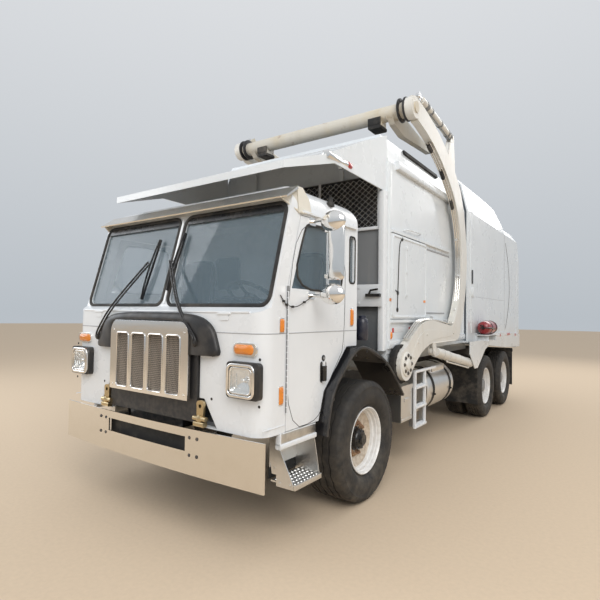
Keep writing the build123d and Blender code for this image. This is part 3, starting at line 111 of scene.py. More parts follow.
def facing(loop: np.ndarray) -> np.ndarray:
    """Returns points (x, z) as points (x, 0, z)."""
    return np.column_stack((loop[:, 0], np.zeros(len(loop)), loop[:, 1]))


def directions(u: Point, v: Point) -> tuple[np.ndarray, np.ndarray, np.ndarray]:
    """Returns u and v scaled to length one, and u x v."""
    u_axis, v_axis = unit(np.asarray(u, dtype=float)), unit(np.asarray(v, dtype=float))
    return u_axis, v_axis, np.cross(u_axis, v_axis)


def revolved(centre: Point, outline: Sequence[Point], sides: int, axis: Axis, sign: float) -> np.ndarray:
    """Points of a surface of revolution.

    A point (a, r) of the outline becomes centre + sign a along the axis + r (cos t, sin t)
    across it.

    Args:
        centre: Point the outline's distances count from.
        outline: Rows of (distance along the axis, radius).
        sides: Steps round the axis.
        axis: The axis.
        sign: -1 points the outline's distances the other way.

    Returns:
        One row of points for each point of the outline.
    """
    loop, ring = np.asarray(outline, dtype=float), circle(1.0, sides)
    along = np.broadcast_to(sign * loop[:, None, 0], (len(loop), sides))
    first = loop[:, None, 1] * ring[None, :, 0]
    second = loop[:, None, 1] * ring[None, :, 1]
    order = {Axis.X: (along, first, second), Axis.Y: (second, along, first), Axis.Z: (first, second, along)}
    return np.stack(order[axis], axis=-1) + np.asarray(centre, dtype=float)


def softened(points: Sequence[Point], rounds: int = 3, closed: bool = False) -> np.ndarray:
    """Corner-cut curve: each round replaces a corner by points at 1/4 and 3/4 of its sides.

    Args:
        points: Corners of the line.
        rounds: How many times the corners are cut.
        closed: Whether the line joins its ends.

    Returns:
        The points of the smooth line.
    """
    line = np.asarray(points, dtype=float)
    for _ in range(rounds):
        after = np.roll(line, -1, axis=0) if closed else line[1:]
        before = line if closed else line[:-1]
        cut = np.stack((0.75 * before + 0.25 * after, 0.25 * before + 0.75 * after), axis=1)
        cut = cut.reshape(-1, line.shape[1])
        line = cut if closed else np.concatenate((line[:1], cut[1:-1], line[-1:]))
    return line


def arc_points(centre: Point, radius: float, start: float, end: float, steps: int) -> np.ndarray:
    """Returns (c0 + r cos t, c1 + r sin t) for t from start to end, in degrees."""
    turn = np.radians(np.linspace(start, end, steps))
    return np.asarray(centre) + radius * np.stack((np.cos(turn), np.sin(turn)), axis=-1)


class Shape:
    """Computed surfaces gathered into one mesh."""

    def __init__(self) -> None:
        """Starts with nothing in it."""
        self.points: list[np.ndarray] = []
        self.faces: list[np.ndarray] = []
        self.count = 0

    def put(self, points: np.ndarray, faces: Iterable[np.ndarray]) -> "Shape":
        """Adds vertices and faces, whose indices count from the first of these vertices."""
        self.faces += [np.asarray(block, dtype=np.int64) + self.count for block in faces]
        self.points.append(np.asarray(points, dtype=float).reshape(-1, 3))
        self.count += len(self.points[-1])
        return self

    def grid(self, points: np.ndarray, wrap_u: bool = False, wrap_v: bool = False,
             caps: bool = False) -> "Shape":
        """Adds a surface given as points[u, v].

        Args:
            points: Array of shape (u, v, 3).
            wrap_u: Whether the last row joins the first.
            wrap_v: Whether the last column joins the first.
            caps: Whether the first and last rows, each a ring, are closed by a face.

        Returns:
            This shape.
        """
        rows, columns = points.shape[:2]
        index = np.arange(rows * columns).reshape(rows, columns)
        u = np.arange(rows if wrap_u else rows - 1)
        v = np.arange(columns if wrap_v else columns - 1)
        a = index[np.ix_(u, v)]
        b = index[np.ix_((u + 1) % rows, v)]
        c = index[np.ix_((u + 1) % rows, (v + 1) % columns)]
        d = index[np.ix_(u, (v + 1) % columns)]
        faces = [np.stack((a, b, c, d), axis=-1).reshape(-1, 4)]
        if caps:
            faces += [index[:1, :], index[-1:, ::-1]]
        return self.put(points, faces)

    def tube(self, path: np.ndarray, radius: float | np.ndarray, sides: int = 10,
             closed: bool = False) -> "Shape":
        """Adds a round tube along a path.

        Each ring is the path's point plus radius (N cos t + B sin t), where N and B
        stand square to the path's tangent and to the direction it turns least about.

        Args:
            path: Points of the centre line.
            radius: One radius or one for each point.
            sides: Sides of the ring.
            closed: Whether the path joins its ends.

        Returns:
            This shape.
        """
        return self.sweep(path, circle(1.0, sides), radius, closed)

    def sweep(self, path: np.ndarray, profile: np.ndarray, size: float | np.ndarray = 1.0,
              closed: bool = False, side: Point | None = None) -> "Shape":
        """Adds a closed profile carried along a path.

        A ring is path + size (p0 N + p1 B), with B across the plane of the path and
        N square to B and to the tangent.

        Args:
            path: Points of the centre line.
            profile: Points (p0, p1) of the section.
            size: One scale or one for each point of the path.
            closed: Whether the path joins its ends.
            side: The direction of B, or None for the one the path turns least about.

        Returns:
            This shape.
        """
        line = np.asarray(path, dtype=float)
        step = np.roll(line, -1, axis=0) - np.roll(line, 1, axis=0)
        if not closed:
            step[0], step[-1] = line[1] - line[0], line[-1] - line[-2]
        tangent = unit(step)
        reference = np.linalg.svd(tangent)[2][-1] if side is None else np.asarray(side, dtype=float)
        normal = unit(np.cross(reference[None, :], tangent))
        across = np.cross(tangent, normal)
        scale = np.broadcast_to(np.asarray(size, dtype=float), (len(line),))[:, None, None]
        ring = profile[None, :, 0, None] * normal[:, None, :] + profile[None, :, 1, None] * across[:, None, :]
        return self.grid(line[:, None, :] + scale * ring, wrap_u=closed, wrap_v=True, caps=not closed)

    def lathe(self, centre: Point, outline: Sequence[Point], sides: int = 48, axis: Axis = Axis.X,
              sign: float = 1.0) -> "Shape":
        """Adds a ring-shaped solid, a closed outline revolved as the function of that name says."""
        return self.grid(revolved(centre, outline, sides, axis, sign), wrap_u=True, wrap_v=True)

    def dome(self, centre: Point, outline: Sequence[Point], sides: int = 32, axis: Axis = Axis.X,
             sign: float = 1.0) -> "Shape":
        """Adds a turned solid, an open outline revolved, with a face over each of its end rings."""
        return self.grid(revolved(centre, outline, sides, axis, sign), wrap_v=True, caps=True)

    def plate(self, outline: np.ndarray, origin: Point, u: Point, v: Point, thickness: float) -> "Shape":
        """Adds a flat plate.

        A point (p, q) of the outline becomes origin + p u + q v, and again with the
        thickness added along u x v.

        Args:
            outline: Closed loop of (p, q).
            origin: Where (0, 0) lies.
            u: Direction of the first coordinate.
            v: Direction of the second coordinate.
            thickness: Distance between the two faces.

        Returns:
            This shape.
        """
        flat = np.asarray(outline, dtype=float)
        u_axis, v_axis, normal = directions(u, v)
        base = np.asarray(origin, dtype=float) + flat[:, :1] * u_axis + flat[:, 1:] * v_axis
        return self.grid(np.stack((base, base + thickness * normal)), wrap_v=True, caps=True)

    def bar(self, low: Point, high: Point, radius: float = 0.004) -> "Shape":
        """Adds a block between two corners whose four long edges are rounded.

        Args:
            low: One corner.
            high: The opposite corner.
            radius: Radius of the edges along the longest side.

        Returns:
            This shape.
        """
        a, b = np.minimum(low, high), np.maximum(low, high)
        size = b - a
        k = int(np.argmax(size))
        i, j = (k + 1) % 3, (k + 2) % 3
        loop = rounded_box(size[i], size[j], min(radius, 0.45 * min(size[i], size[j])), 3)
        axes = np.eye(3)
        origin = (a + b) / 2
        origin[k] = a[k]
        return self.plate(loop, origin, axes[i], axes[j], size[k])

    def bolts(self, spots: Iterable[Point], normal: Point, radius: float = 0.012,
              height: float = 0.008) -> "Shape":
        """Adds six-sided bolt heads, each with a washer under it.

        Args:
            spots: Points under the heads.
            normal: Direction the heads stand up in.
            radius: Radius across the corners.
            height: Height of a head.

        Returns:
            This shape.
        """
        up = unit(np.asarray(normal, dtype=float))
        side = unit(np.cross(up, np.eye(3)[int(np.argmin(np.abs(up)))]))
        for spot in spots:
            base = np.asarray(spot, dtype=float)
            self.plate(circle(radius * 1.5, 12), base, side, np.cross(up, side), height * 0.25)
            self.plate(circle(radius, 6), base + up * height * 0.25, side, np.cross(up, side), height * 0.75)
        return self

    def moved(self, matrix: np.ndarray) -> "Shape":
        """Returns this shape with every vertex times a 3x3 matrix."""
        self.points = [block @ matrix.T for block in self.points]
        return self

    def mirrored(self) -> "Shape":
        """Adds the mirror image in X, with its faces turned the right way out."""
        blocks = [(p * np.array((-1.0, 1.0, 1.0))) for p in self.points]
        offset = self.count
        self.faces += [block[:, ::-1] + offset for block in list(self.faces)]
        self.points += blocks
        self.count *= 2
        return self

    def build(self, name: str, material: bpy.types.Material, smooth: float = 35.0, bevel: float = 0.0,
              recalc: bool = False) -> bpy.types.Object:
        """Makes the object, at the origin and unturned.

        Args:
            name: Its name.
            material: Its material.
            smooth: Angle in degrees under which faces shade as one surface.
            bevel: Width of the rounding on its sharp edges, or 0.
            recalc: Whether the faces are turned outwards by Blender.

        Returns:
            The object, linked to the scene.
        """
        mesh = bpy.data.meshes.new(name)
        points = np.concatenate(self.points)
        sizes = np.concatenate([np.full(len(block), block.shape[1]) for block in self.faces])
        loops = np.concatenate([block.ravel() for block in self.faces])
        mesh.vertices.add(len(points))
        mesh.vertices.foreach_set("co", points.ravel())
        mesh.loops.add(len(loops))
        mesh.loops.foreach_set("vertex_index", loops)
        mesh.polygons.add(len(sizes))
        mesh.polygons.foreach_set("loop_start", np.cumsum(sizes) - sizes)
        mesh.polygons.foreach_set("loop_total", sizes)
        mesh.update(calc_edges=True)
        mesh.validate()
        work = bmesh.new()
        work.from_mesh(mesh)
        if recalc:
            bmesh.ops.recalc_face_normals(work, faces=work.faces)
        limit = math.radians(smooth)
        for face in work.faces:
            face.smooth = True
        for edge in work.edges:
            edge.smooth = len(edge.link_faces) == 2 and edge.calc_face_angle(4.0) < limit
        work.to_mesh(mesh)
        work.free()
        mesh.materials.append(material)
        made = bpy.data.objects.new(name, mesh)
        bpy.context.scene.collection.objects.link(made)
        if bevel:
            rounding = made.modifiers.new("edge", "BEVEL")
            rounding.width = bevel
            rounding.segments = 2
            rounding.limit_method = "ANGLE"
            rounding.angle_limit = math.radians(40)
            rounding.harden_normals = True
        return made


def fit(piece: bpy.types.Object, body: str, slot: str, *nodes: str) -> bpy.types.Object:
    """Rides a piece on a body and hides the nodes it stands for.

    Args:
        piece: The finished piece.
        body: Name of the body it moves with.
        slot: The record's material slot; not used.
        *nodes: Nodes it replaces.

    Returns:
        The piece.
    """
    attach(piece, body)
    if nodes:
        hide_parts(*nodes)
    LOG.info("%s on %s", piece.name, body)
    return piece


class Board:
    """A material's node tree, with short calls that add and join nodes."""

    def __init__(self, name: str) -> None:
        """Makes the material with one Principled shader.

        Args:
            name: The material's name.
        """
        self.material = bpy.data.materials.new(name)
        self.material.use_nodes = True
        self.tree = self.material.node_tree
        self.tree.nodes.clear()
        self.shader = self.node("ShaderNodeBsdfPrincipled")
        output = self.node("ShaderNodeOutputMaterial")
        self.tree.links.new(self.shader.outputs["BSDF"], output.inputs["Surface"])
        self.coords = self.node("ShaderNodeTexCoord").outputs["Object"]

    def node(self, kind: str, **values: object) -> bpy.types.Node:
        """Adds a node and sets its properties by name."""
        made = self.tree.nodes.new(kind)
        for key, value in values.items():
            setattr(made, key, value)
        return made

    def feed(self, socket: bpy.types.NodeSocket, value: object) -> None:
        """Links a socket to another's output, or sets its number or colour."""
        if isinstance(value, bpy.types.NodeSocket):
            self.tree.links.new(value, socket)
        elif isinstance(value, tuple) and len(value) == 3 and socket.type == "RGBA":
            socket.default_value = (*value, 1.0)
        else:
            socket.default_value = value

    def scaled(self, scale: Point) -> bpy.types.NodeSocket:
        """Returns the object's coordinates times a scale for each axis."""
        mapping = self.node("ShaderNodeMapping")
        self.feed(mapping.inputs["Vector"], self.coords)
        mapping.inputs["Scale"].default_value = tuple(scale)
        return mapping.outputs["Vector"]

    def noise(self, scale: float, detail: float = 3.0, rough: float = 0.55,
              stretch: Point = (1.0, 1.0, 1.0)) -> bpy.types.NodeSocket:
        """Returns a noise's value.

        Args:
            scale: Features per metre.
            detail: Octaves.
            rough: How strong the finer octaves are.
            stretch: Scale of each axis before the noise.

        Returns:
            The output socket, from 0 to 1.
        """
        made = self.node("ShaderNodeTexNoise")
        self.feed(made.inputs["Vector"], self.scaled(stretch))
        made.inputs["Scale"].default_value = scale
        made.inputs["Detail"].default_value = detail
        made.inputs["Roughness"].default_value = rough
        return made.outputs["Fac"]

    def span(self, value: object, low: float, high: float, out_low: float = 0.0,
             out_high: float = 1.0) -> bpy.types.NodeSocket:
        """Returns a value mapped from one range to another and clamped to it."""
        made = self.node("ShaderNodeMapRange")
        self.feed(made.inputs["Value"], value)
        for key, number in (("From Min", low), ("From Max", high), ("To Min", out_low), ("To Max", out_high)):
            made.inputs[key].default_value = number
        return made.outputs["Result"]

    def math(self, operation: str, first: object, second: object = 0.0) -> bpy.types.NodeSocket:
        """Returns a math node's result, clamped from 0 to 1."""
        made = self.node("ShaderNodeMath", operation=operation, use_clamp=True)
        self.feed(made.inputs[0], first)
        self.feed(made.inputs[1], second)
        return made.outputs["Value"]

    def mix(self, share: object, first: object, second: object) -> bpy.types.NodeSocket:
        """Returns a colour between two, by a share from 0 to 1."""
        made = self.node("ShaderNodeMix", data_type="RGBA")
        self.feed(made.inputs[0], share)
        self.feed(made.inputs[6], first)
        self.feed(made.inputs[7], second)
        return made.outputs[2]

    def height(self) -> bpy.types.NodeSocket:
        """Returns Z above the ground in metres."""
        split = self.node("ShaderNodeSeparateXYZ")
        self.feed(split.inputs["Vector"], self.coords)
        return split.outputs["Z"]

    def set(self, **values: object) -> None:
        """Sets the shader's sockets, named with underscores for spaces."""
        for key, value in values.items():
            self.feed(self.shader.inputs[key.replace("_", " ")], value)

    def bump(self, height: bpy.types.NodeSocket, strength: float, distance: float) -> None:
        """Feeds the shader's normal from a height, in metres of distance."""
        made = self.node("ShaderNodeBump")
        made.inputs["Strength"].default_value = strength
        made.inputs["Distance"].default_value = distance
        self.feed(made.inputs["Height"], height)
        self.feed(self.shader.inputs["Normal"], made.outputs["Normal"])


@dataclass(frozen=True)
class Paint:
    """Sprayed paint with road dust low down, faint run-off streaks and chips."""

    name: str
    colour: Colour
    dust: Colour = (0.42, 0.35, 0.26)
    dust_top: float = 1.5
    dust_share: float = 0.28
    streaks: float = 0.10
    roughness: float = 0.24
    coat: float = 0.5
    rust: float = 0.0

    def make(self) -> bpy.types.Material:
        """Returns the paint's material."""
        board = Board(self.name)
        cloud = board.noise(1.3, 4.0)
        shade = tuple(0.93 * c for c in self.colour)
        base = board.mix(board.span(cloud, 0.35, 0.65), self.colour, shade)
        low = board.span(board.height(), self.dust_top, 0.3)
        speck = board.span(board.noise(26.0, 5.0), 0.42, 0.68)
        dusty = board.math("MULTIPLY", board.math("MULTIPLY", low, speck), self.dust_share)
        base = board.mix(dusty, base, self.dust)
        runs = board.span(board.noise(9.0, 3.0, 0.6, (1.0, 1.0, 0.06)), 0.52, 0.78)
        base = board.mix(board.math("MULTIPLY", runs, self.streaks), base, (0.50, 0.46, 0.38))
        if self.rust:
            spots = board.span(board.noise(6.5, 8.0, 0.72), 0.60, 0.66)
            stain = board.span(board.noise(2.1, 5.0, 0.7), 0.50, 0.72)
            base = board.mix(board.math("MULTIPLY", stain, self.rust * 0.55), base, (0.62, 0.44, 0.14))
            base = board.mix(board.math("MULTIPLY", spots, self.rust), base, (0.24, 0.10, 0.04))
        rough = board.span(board.noise(3.0, 4.0), 0.3, 0.7, self.roughness, self.roughness + 0.12)
        board.set(Base_Color=base, Roughness=rough, Coat_Weight=self.coat, Coat_Roughness=0.12)
        board.bump(board.noise(240.0, 2.0), 0.06, 0.0006)
        return board.material


@dataclass(frozen=True)
class Metal:
    """Bare or plated metal with brushed scratches and a water-marked film."""

    name: str
    colour: Colour
    roughness: float = 0.12
    film: float = 0.15
    film_colour: Colour = (0.45, 0.38, 0.28)
    grain: Point = (4.0, 90.0, 90.0)
    scratch: float = 0.06

    def make(self) -> bpy.types.Material:
        """Returns the metal's material."""
        board = Board(self.name)
        marks = board.span(board.noise(7.0, 6.0, 0.65), 0.48, 0.75)
        base = board.mix(board.math("MULTIPLY", marks, self.film), self.colour, self.film_colour)
        brushed = board.noise(1.0, 3.0, 0.6, self.grain)
        rough = board.span(brushed, 0.3, 0.7, self.roughness, self.roughness + 0.10)
        board.set(Base_Color=base, Metallic=1.0, Roughness=rough)
        board.bump(brushed, self.scratch, 0.0004)
        return board.material


@dataclass(frozen=True)
class Moulded:
    """Plastic or rubber with a pebbled skin and pale dust on it."""

    name: str
    colour: Colour
    roughness: float = 0.5
    pebble: float = 420.0
    depth: float = 0.12
    dust: float = 0.18
    dust_colour: Colour = (0.36, 0.31, 0.25)

    def make(self) -> bpy.types.Material:
        """Returns the moulding's material."""
        board = Board(self.name)
        film = board.math("MULTIPLY", board.span(board.noise(5.0, 6.0, 0.65), 0.45, 0.75), self.dust)
        base = board.mix(film, self.colour, self.dust_colour)
        rough = board.span(board.noise(9.0, 3.0), 0.3, 0.7, self.roughness, min(1.0, self.roughness + 0.18))
        board.set(Base_Color=base, Roughness=rough)
        board.bump(board.noise(self.pebble, 2.0), self.depth, 0.0008)
        return board.material


@dataclass(frozen=True)
class Lens:
    """Coloured moulded lens with vertical flutes under a smooth face, glowing faintly; where it covers parts
    that are no lamps, such as the valve cap, the reflectors and the rear tape, the glow is painted light.
    """

    name: str
    colour: Colour
    glow: float = 0.05
    flutes: float = 190.0

    def make(self) -> bpy.types.Material:
        """Returns the lens's material."""
        board = Board(self.name)
        wave = board.node("ShaderNodeTexWave", wave_type="BANDS", bands_direction="X")
        board.feed(wave.inputs["Vector"], board.coords)
        wave.inputs["Scale"].default_value = self.flutes
        deep = tuple(0.45 * c for c in self.colour)
        base = board.mix(wave.outputs["Fac"], self.colour, deep)
        # The faint emission is painted light wherever this finish covers a part that is no lamp.
        board.set(Base_Color=base, Roughness=0.16, Coat_Weight=0.7, Coat_Roughness=0.04,
                  Emission_Color=self.colour, Emission_Strength=self.glow)
        board.bump(wave.outputs["Fac"], 0.3, 0.001)
        return board.material


@dataclass(frozen=True)
class Pane:
    """Tinted safety glass, a little dusty."""

    name: str
    colour: Colour
    alpha: float = 0.42

    def make(self) -> bpy.types.Material:
        """Returns the pane's material."""
        board = Board(self.name)
        film = board.span(board.noise(3.0, 6.0, 0.7), 0.35, 0.8, self.alpha, min(1.0, self.alpha + 0.10))
        rough = board.span(board.noise(14.0, 4.0), 0.3, 0.8, 0.015, 0.06)
        board.set(Base_Color=self.colour, Roughness=rough, Alpha=film, Specular_IOR_Level=0.75)
        board.material.surface_render_method = "DITHERED"
        return board.material


@dataclass(frozen=True)
class Cloth:
    """Woven seat cloth with worn patches."""

    name: str
    colour: Colour

    def make(self) -> bpy.types.Material:
        """Returns the cloth's material."""
        board = Board(self.name)
        weave = board.node("ShaderNodeTexChecker")
        board.feed(weave.inputs["Vector"], board.coords)
        weave.inputs["Scale"].default_value = 320.0
        worn = board.span(board.noise(4.0, 4.0), 0.4, 0.7)
        base = board.mix(worn, self.colour, tuple(1.5 * c for c in self.colour))
        board.set(Base_Color=base, Roughness=0.9, Sheen_Weight=0.3)
        board.bump(weave.outputs["Fac"], 0.35, 0.0008)
        return board.material


@dataclass(frozen=True)
class Tread:
    """Tyre rubber, greyer where it has rolled and dusty in the grooves."""

    name: str

    def make(self) -> bpy.types.Material:
        """Returns the tyre's material."""
        board = Board(self.name)
        dust = board.span(board.noise(8.0, 6.0, 0.7), 0.40, 0.72)
        low = board.span(board.height(), 0.9, 0.0, 0.25, 0.75)
        base = board.mix(board.math("MULTIPLY", dust, low), (0.022, 0.021, 0.020), (0.13, 0.11, 0.085))
        board.set(Base_Color=base, Roughness=0.72)
        board.bump(board.noise(160.0, 4.0), 0.2, 0.001)
        return board.material


@dataclass(frozen=True)
class TreadPlate:
    """Aluminium plate rolled with short raised bars in two directions."""

    name: str
    colour: Colour = (0.70, 0.70, 0.69)

    def make(self) -> bpy.types.Material:
        """Returns the plate's material."""
        board = Board(self.name)
        bars = board.node("ShaderNodeTexBrick", offset=0.5, squash=1.0)
        mapping = board.node("ShaderNodeMapping")
        mapping.inputs["Rotation"].default_value = (0.0, 0.0, math.radians(45))
        board.feed(mapping.inputs["Vector"], board.coords)
        board.feed(bars.inputs["Vector"], mapping.outputs["Vector"])
        bars.inputs["Scale"].default_value = 28.0
        bars.inputs["Mortar Size"].default_value = 0.12
        grime = board.span(board.noise(12.0, 5.0), 0.45, 0.75)
        base = board.mix(board.math("MULTIPLY", grime, 0.45), self.colour, (0.30, 0.26, 0.20))
        board.set(Base_Color=base, Metallic=1.0, Roughness=board.span(grime, 0.0, 1.0, 0.28, 0.5))
        board.bump(bars.outputs["Fac"], 0.5, 0.003)
        return board.material


@dataclass(frozen=True)
class Barred:
    """Reflective tape in equal red and white lengths along Y."""

    name: str
    length: float = 0.30

    def make(self) -> bpy.types.Material:
        """Returns the tape's material: red where the fraction of Y over a pair's length is under a half."""
        board = Board(self.name)
        split = board.node("ShaderNodeSeparateXYZ")
        board.feed(split.inputs["Vector"], board.coords)
        share = board.node("ShaderNodeMath", operation="FLOORED_MODULO")
        board.feed(share.inputs[0], split.outputs["Y"])
        share.inputs[1].default_value = 2.0 * self.length
        red = board.math("LESS_THAN", share.outputs["Value"], self.length)
        grid = board.noise(300.0, 1.0)
        bright = board.mix(board.span(grid, 0.4, 0.6), (0.78, 0.79, 0.80), (0.68, 0.69, 0.71))
        board.set(Base_Color=board.mix(red, bright, (0.50, 0.03, 0.03)), Roughness=0.25, Coat_Weight=0.5)
        board.bump(grid, 0.1, 0.0004)
        return board.material


class Finishes:
    """Every finish on the truck, made once."""

    def __init__(self) -> None:
        """Makes the materials."""
        self.white = Paint("white_enamel", (0.80, 0.83, 0.86), dust_top=1.1, streaks=0.03).make()
        self.body_white = Paint("body_enamel", (0.75, 0.79, 0.82), streaks=0.08, dust_top=1.8).make()
        self.fender = Paint("fender_enamel", (0.010, 0.010, 0.012), (0.20, 0.17, 0.13), 1.2, 0.25, 0.03, 0.22,
                            0.5).make()
        self.bronze = Metal("bronze_wire", (0.44, 0.39, 0.34), 0.30, 0.2).make()
        self.arm_white = Paint("arm_enamel", (0.74, 0.73, 0.69), streaks=0.30, dust_share=0.4, rust=0.12,
                               roughness=0.36, coat=0.2).make()
        self.fork_cream = Paint("fork_enamel", (0.62, 0.59, 0.52), streaks=0.4, rust=0.5, roughness=0.5,
                                coat=0.05).make()
        self.cream = Paint("aged_enamel", (0.72, 0.69, 0.61), streaks=0.35, rust=0.12, roughness=0.4,
                           coat=0.1).make()
        self.black = Paint("chassis_enamel", (0.018, 0.018, 0.020), (0.20, 0.17, 0.13), 1.2, 0.55, 0.05, 0.42,
                           0.1).make()
        self.grey = Paint("grey_enamel", (0.22, 0.23, 0.24), streaks=0.2, roughness=0.45, coat=0.1).make()
        self.iron = Paint("cast_iron", (0.06, 0.06, 0.065), streaks=0.1, roughness=0.6, coat=0.0,
                          rust=0.3).make()
        self.rusty = Paint("hub_enamel", (0.30, 0.17, 0.10), roughness=0.7, coat=0.0, rust=0.9).make()
        self.red = Paint("red_enamel", (0.28, 0.012, 0.02), roughness=0.3).make()
        self.steel = Metal("polished_stainless", (0.80, 0.78, 0.74), 0.07, 0.10).make()
        self.chrome = Metal("bright_chrome", (0.86, 0.85, 0.83), 0.05, 0.08, scratch=0.02).make()
        self.visor = Metal("visor_stainless", (0.72, 0.70, 0.66), 0.16, 0.25).make()
        self.aluminium = Metal("plain_aluminium", (0.74, 0.74, 0.73), 0.30, 0.22,
                               grain=(60.0, 6.0, 60.0)).make()
        self.brass = Metal("brass", (0.58, 0.46, 0.27), 0.30, 0.3).make()
        self.rod = Metal("hard_chrome", (0.80, 0.80, 0.80), 0.08, 0.1, scratch=0.02).make()
        self.rubber = Moulded("black_rubber", (0.012, 0.012, 0.012), 0.62).make()
        self.flap = Moulded("flap_rubber", (0.016, 0.016, 0.016), 0.7, 60.0, 0.2, 0.35).make()
        self.plastic = Moulded("black_moulding", (0.016, 0.016, 0.017), 0.36, 520.0, 0.10, 0.14).make()
        self.trim = Moulded("grey_trim", (0.12, 0.13, 0.14), 0.6, 700.0, 0.15, 0.2).make()
        self.gloss_black = Moulded("black_gloss", (0.01, 0.01, 0.011), 0.18, 300.0, 0.02, 0.1).make()
        self.blue = Moulded("blue_filter", (0.004, 0.009, 0.028), 0.22).make()
        self.tyre = Tread("tyre_rubber").make()
        self.plate = TreadPlate("tread_plate").make()
        self.glass = Pane("tinted_glass", (0.17, 0.24, 0.29), 0.34).make()
        self.clear = Pane("lamp_glass", (0.75, 0.82, 0.86), 0.10).make()
        self.amber = Lens("amber_lens", (0.85, 0.26, 0.02), 0.12).make()
        self.red_lens = Lens("red_lens", (0.50, 0.01, 0.01)).make()
        self.white_lens = Lens("white_lens", (0.80, 0.80, 0.78), flutes=120.0).make()
        self.mirror = Metal("mirror_face", (0.85, 0.88, 0.90), 0.01, 0.04, scratch=0.0).make()
        self.seat = Cloth("seat_cloth", (0.08, 0.085, 0.09)).make()
        # Grey for the cab's pressed line, where it is painted shade of the groove, and the plain grey of the
        # side door's rails.
        self.seam = Moulded("groove_shade_and_rail_grey", (0.34, 0.35, 0.37), 0.6).make()
        self.tape = Barred("barred_tape").make()
        self.rim = Paint("rim_enamel", (0.82, 0.82, 0.81), (0.40, 0.34, 0.27), 2.0, 0.25).make()
        self.dusty = Paint("disc_enamel", (0.62, 0.54, 0.44), (0.33, 0.24, 0.16), 2.5, 0.75).make()


@dataclass
class Assembly:
    """A part of the truck that makes its pieces and puts them on their bodies."""

    finishes: Finishes

    def add(self, shape: Shape, name: str, finish: bpy.types.Material, slot: str, *nodes: str,
            body: str = "chassis", smooth: float = 35.0, bevel: float = 0.0, recalc: bool = False) -> None:
        """Makes a shape's piece and fits it.

        Args:
            shape: The finished shape.
            name: The piece's name.
            finish: Its material.
            slot: The record's material slot.
            *nodes: Nodes it replaces.
            body: Name of the body it moves with.
            smooth: Angle in degrees under which faces shade as one surface.
            bevel: Width of the rounding on its sharp edges, or 0.
            recalc: Whether the faces are turned outwards by Blender.
        """
        fit(shape.build(name, finish, smooth, bevel, recalc), body, slot, *nodes)

    def pair(self, shape: Shape, *facts: object, **options: object) -> None:
        """Adds a shape with its mirror image as one piece."""
        self.add(shape.mirrored(), *facts, **options)


SLOT_OF = {row["node"]: row["material_slot"] for row in frame["record"]["subparts"]}


def dress(finishes: Finishes) -> None:
    """Gives every carried-over node its finish.

    Args:
        finishes: The truck's materials.
    """
    by_slot = {
        "chassis_black": finishes.black, "engine_iron": finishes.iron, "black_panel": finishes.black,
        "polished_steel": finishes.steel, "white_paint": finishes.white, "tinted_glass": finishes.glass,
        "cab_trim": finishes.trim, "black_plastic": finishes.plastic, "seat_fabric": finishes.seat,
        "chrome_trim": finishes.chrome, "lamp_lens": finishes.white_lens, "amber_lens": finishes.amber,
        "plain_aluminium": finishes.aluminium, "grey_paint": finishes.grey, "red_lens": finishes.red_lens,
        "black_rubber": finishes.flap, "arm_white": finishes.arm_white, "fork_cream": finishes.fork_cream,
        "rod_chrome": finishes.rod, "tyre_rubber": finishes.tyre, "rim_white": finishes.white,
    }
    own = {"hopper": finishes.body_white, "body_shell": finishes.body_white, "tailgate": finishes.body_white,
           "canopy": finishes.body_white, "hopper_side_door": finishes.body_white,
           "sun_visor": finishes.visor, "front_fenders": finishes.fender}
    for name, node in frame["nodes"].items():
        node.data.materials.clear()
        node.data.materials.append(own.get(name, by_slot[SLOT_OF[name]]))


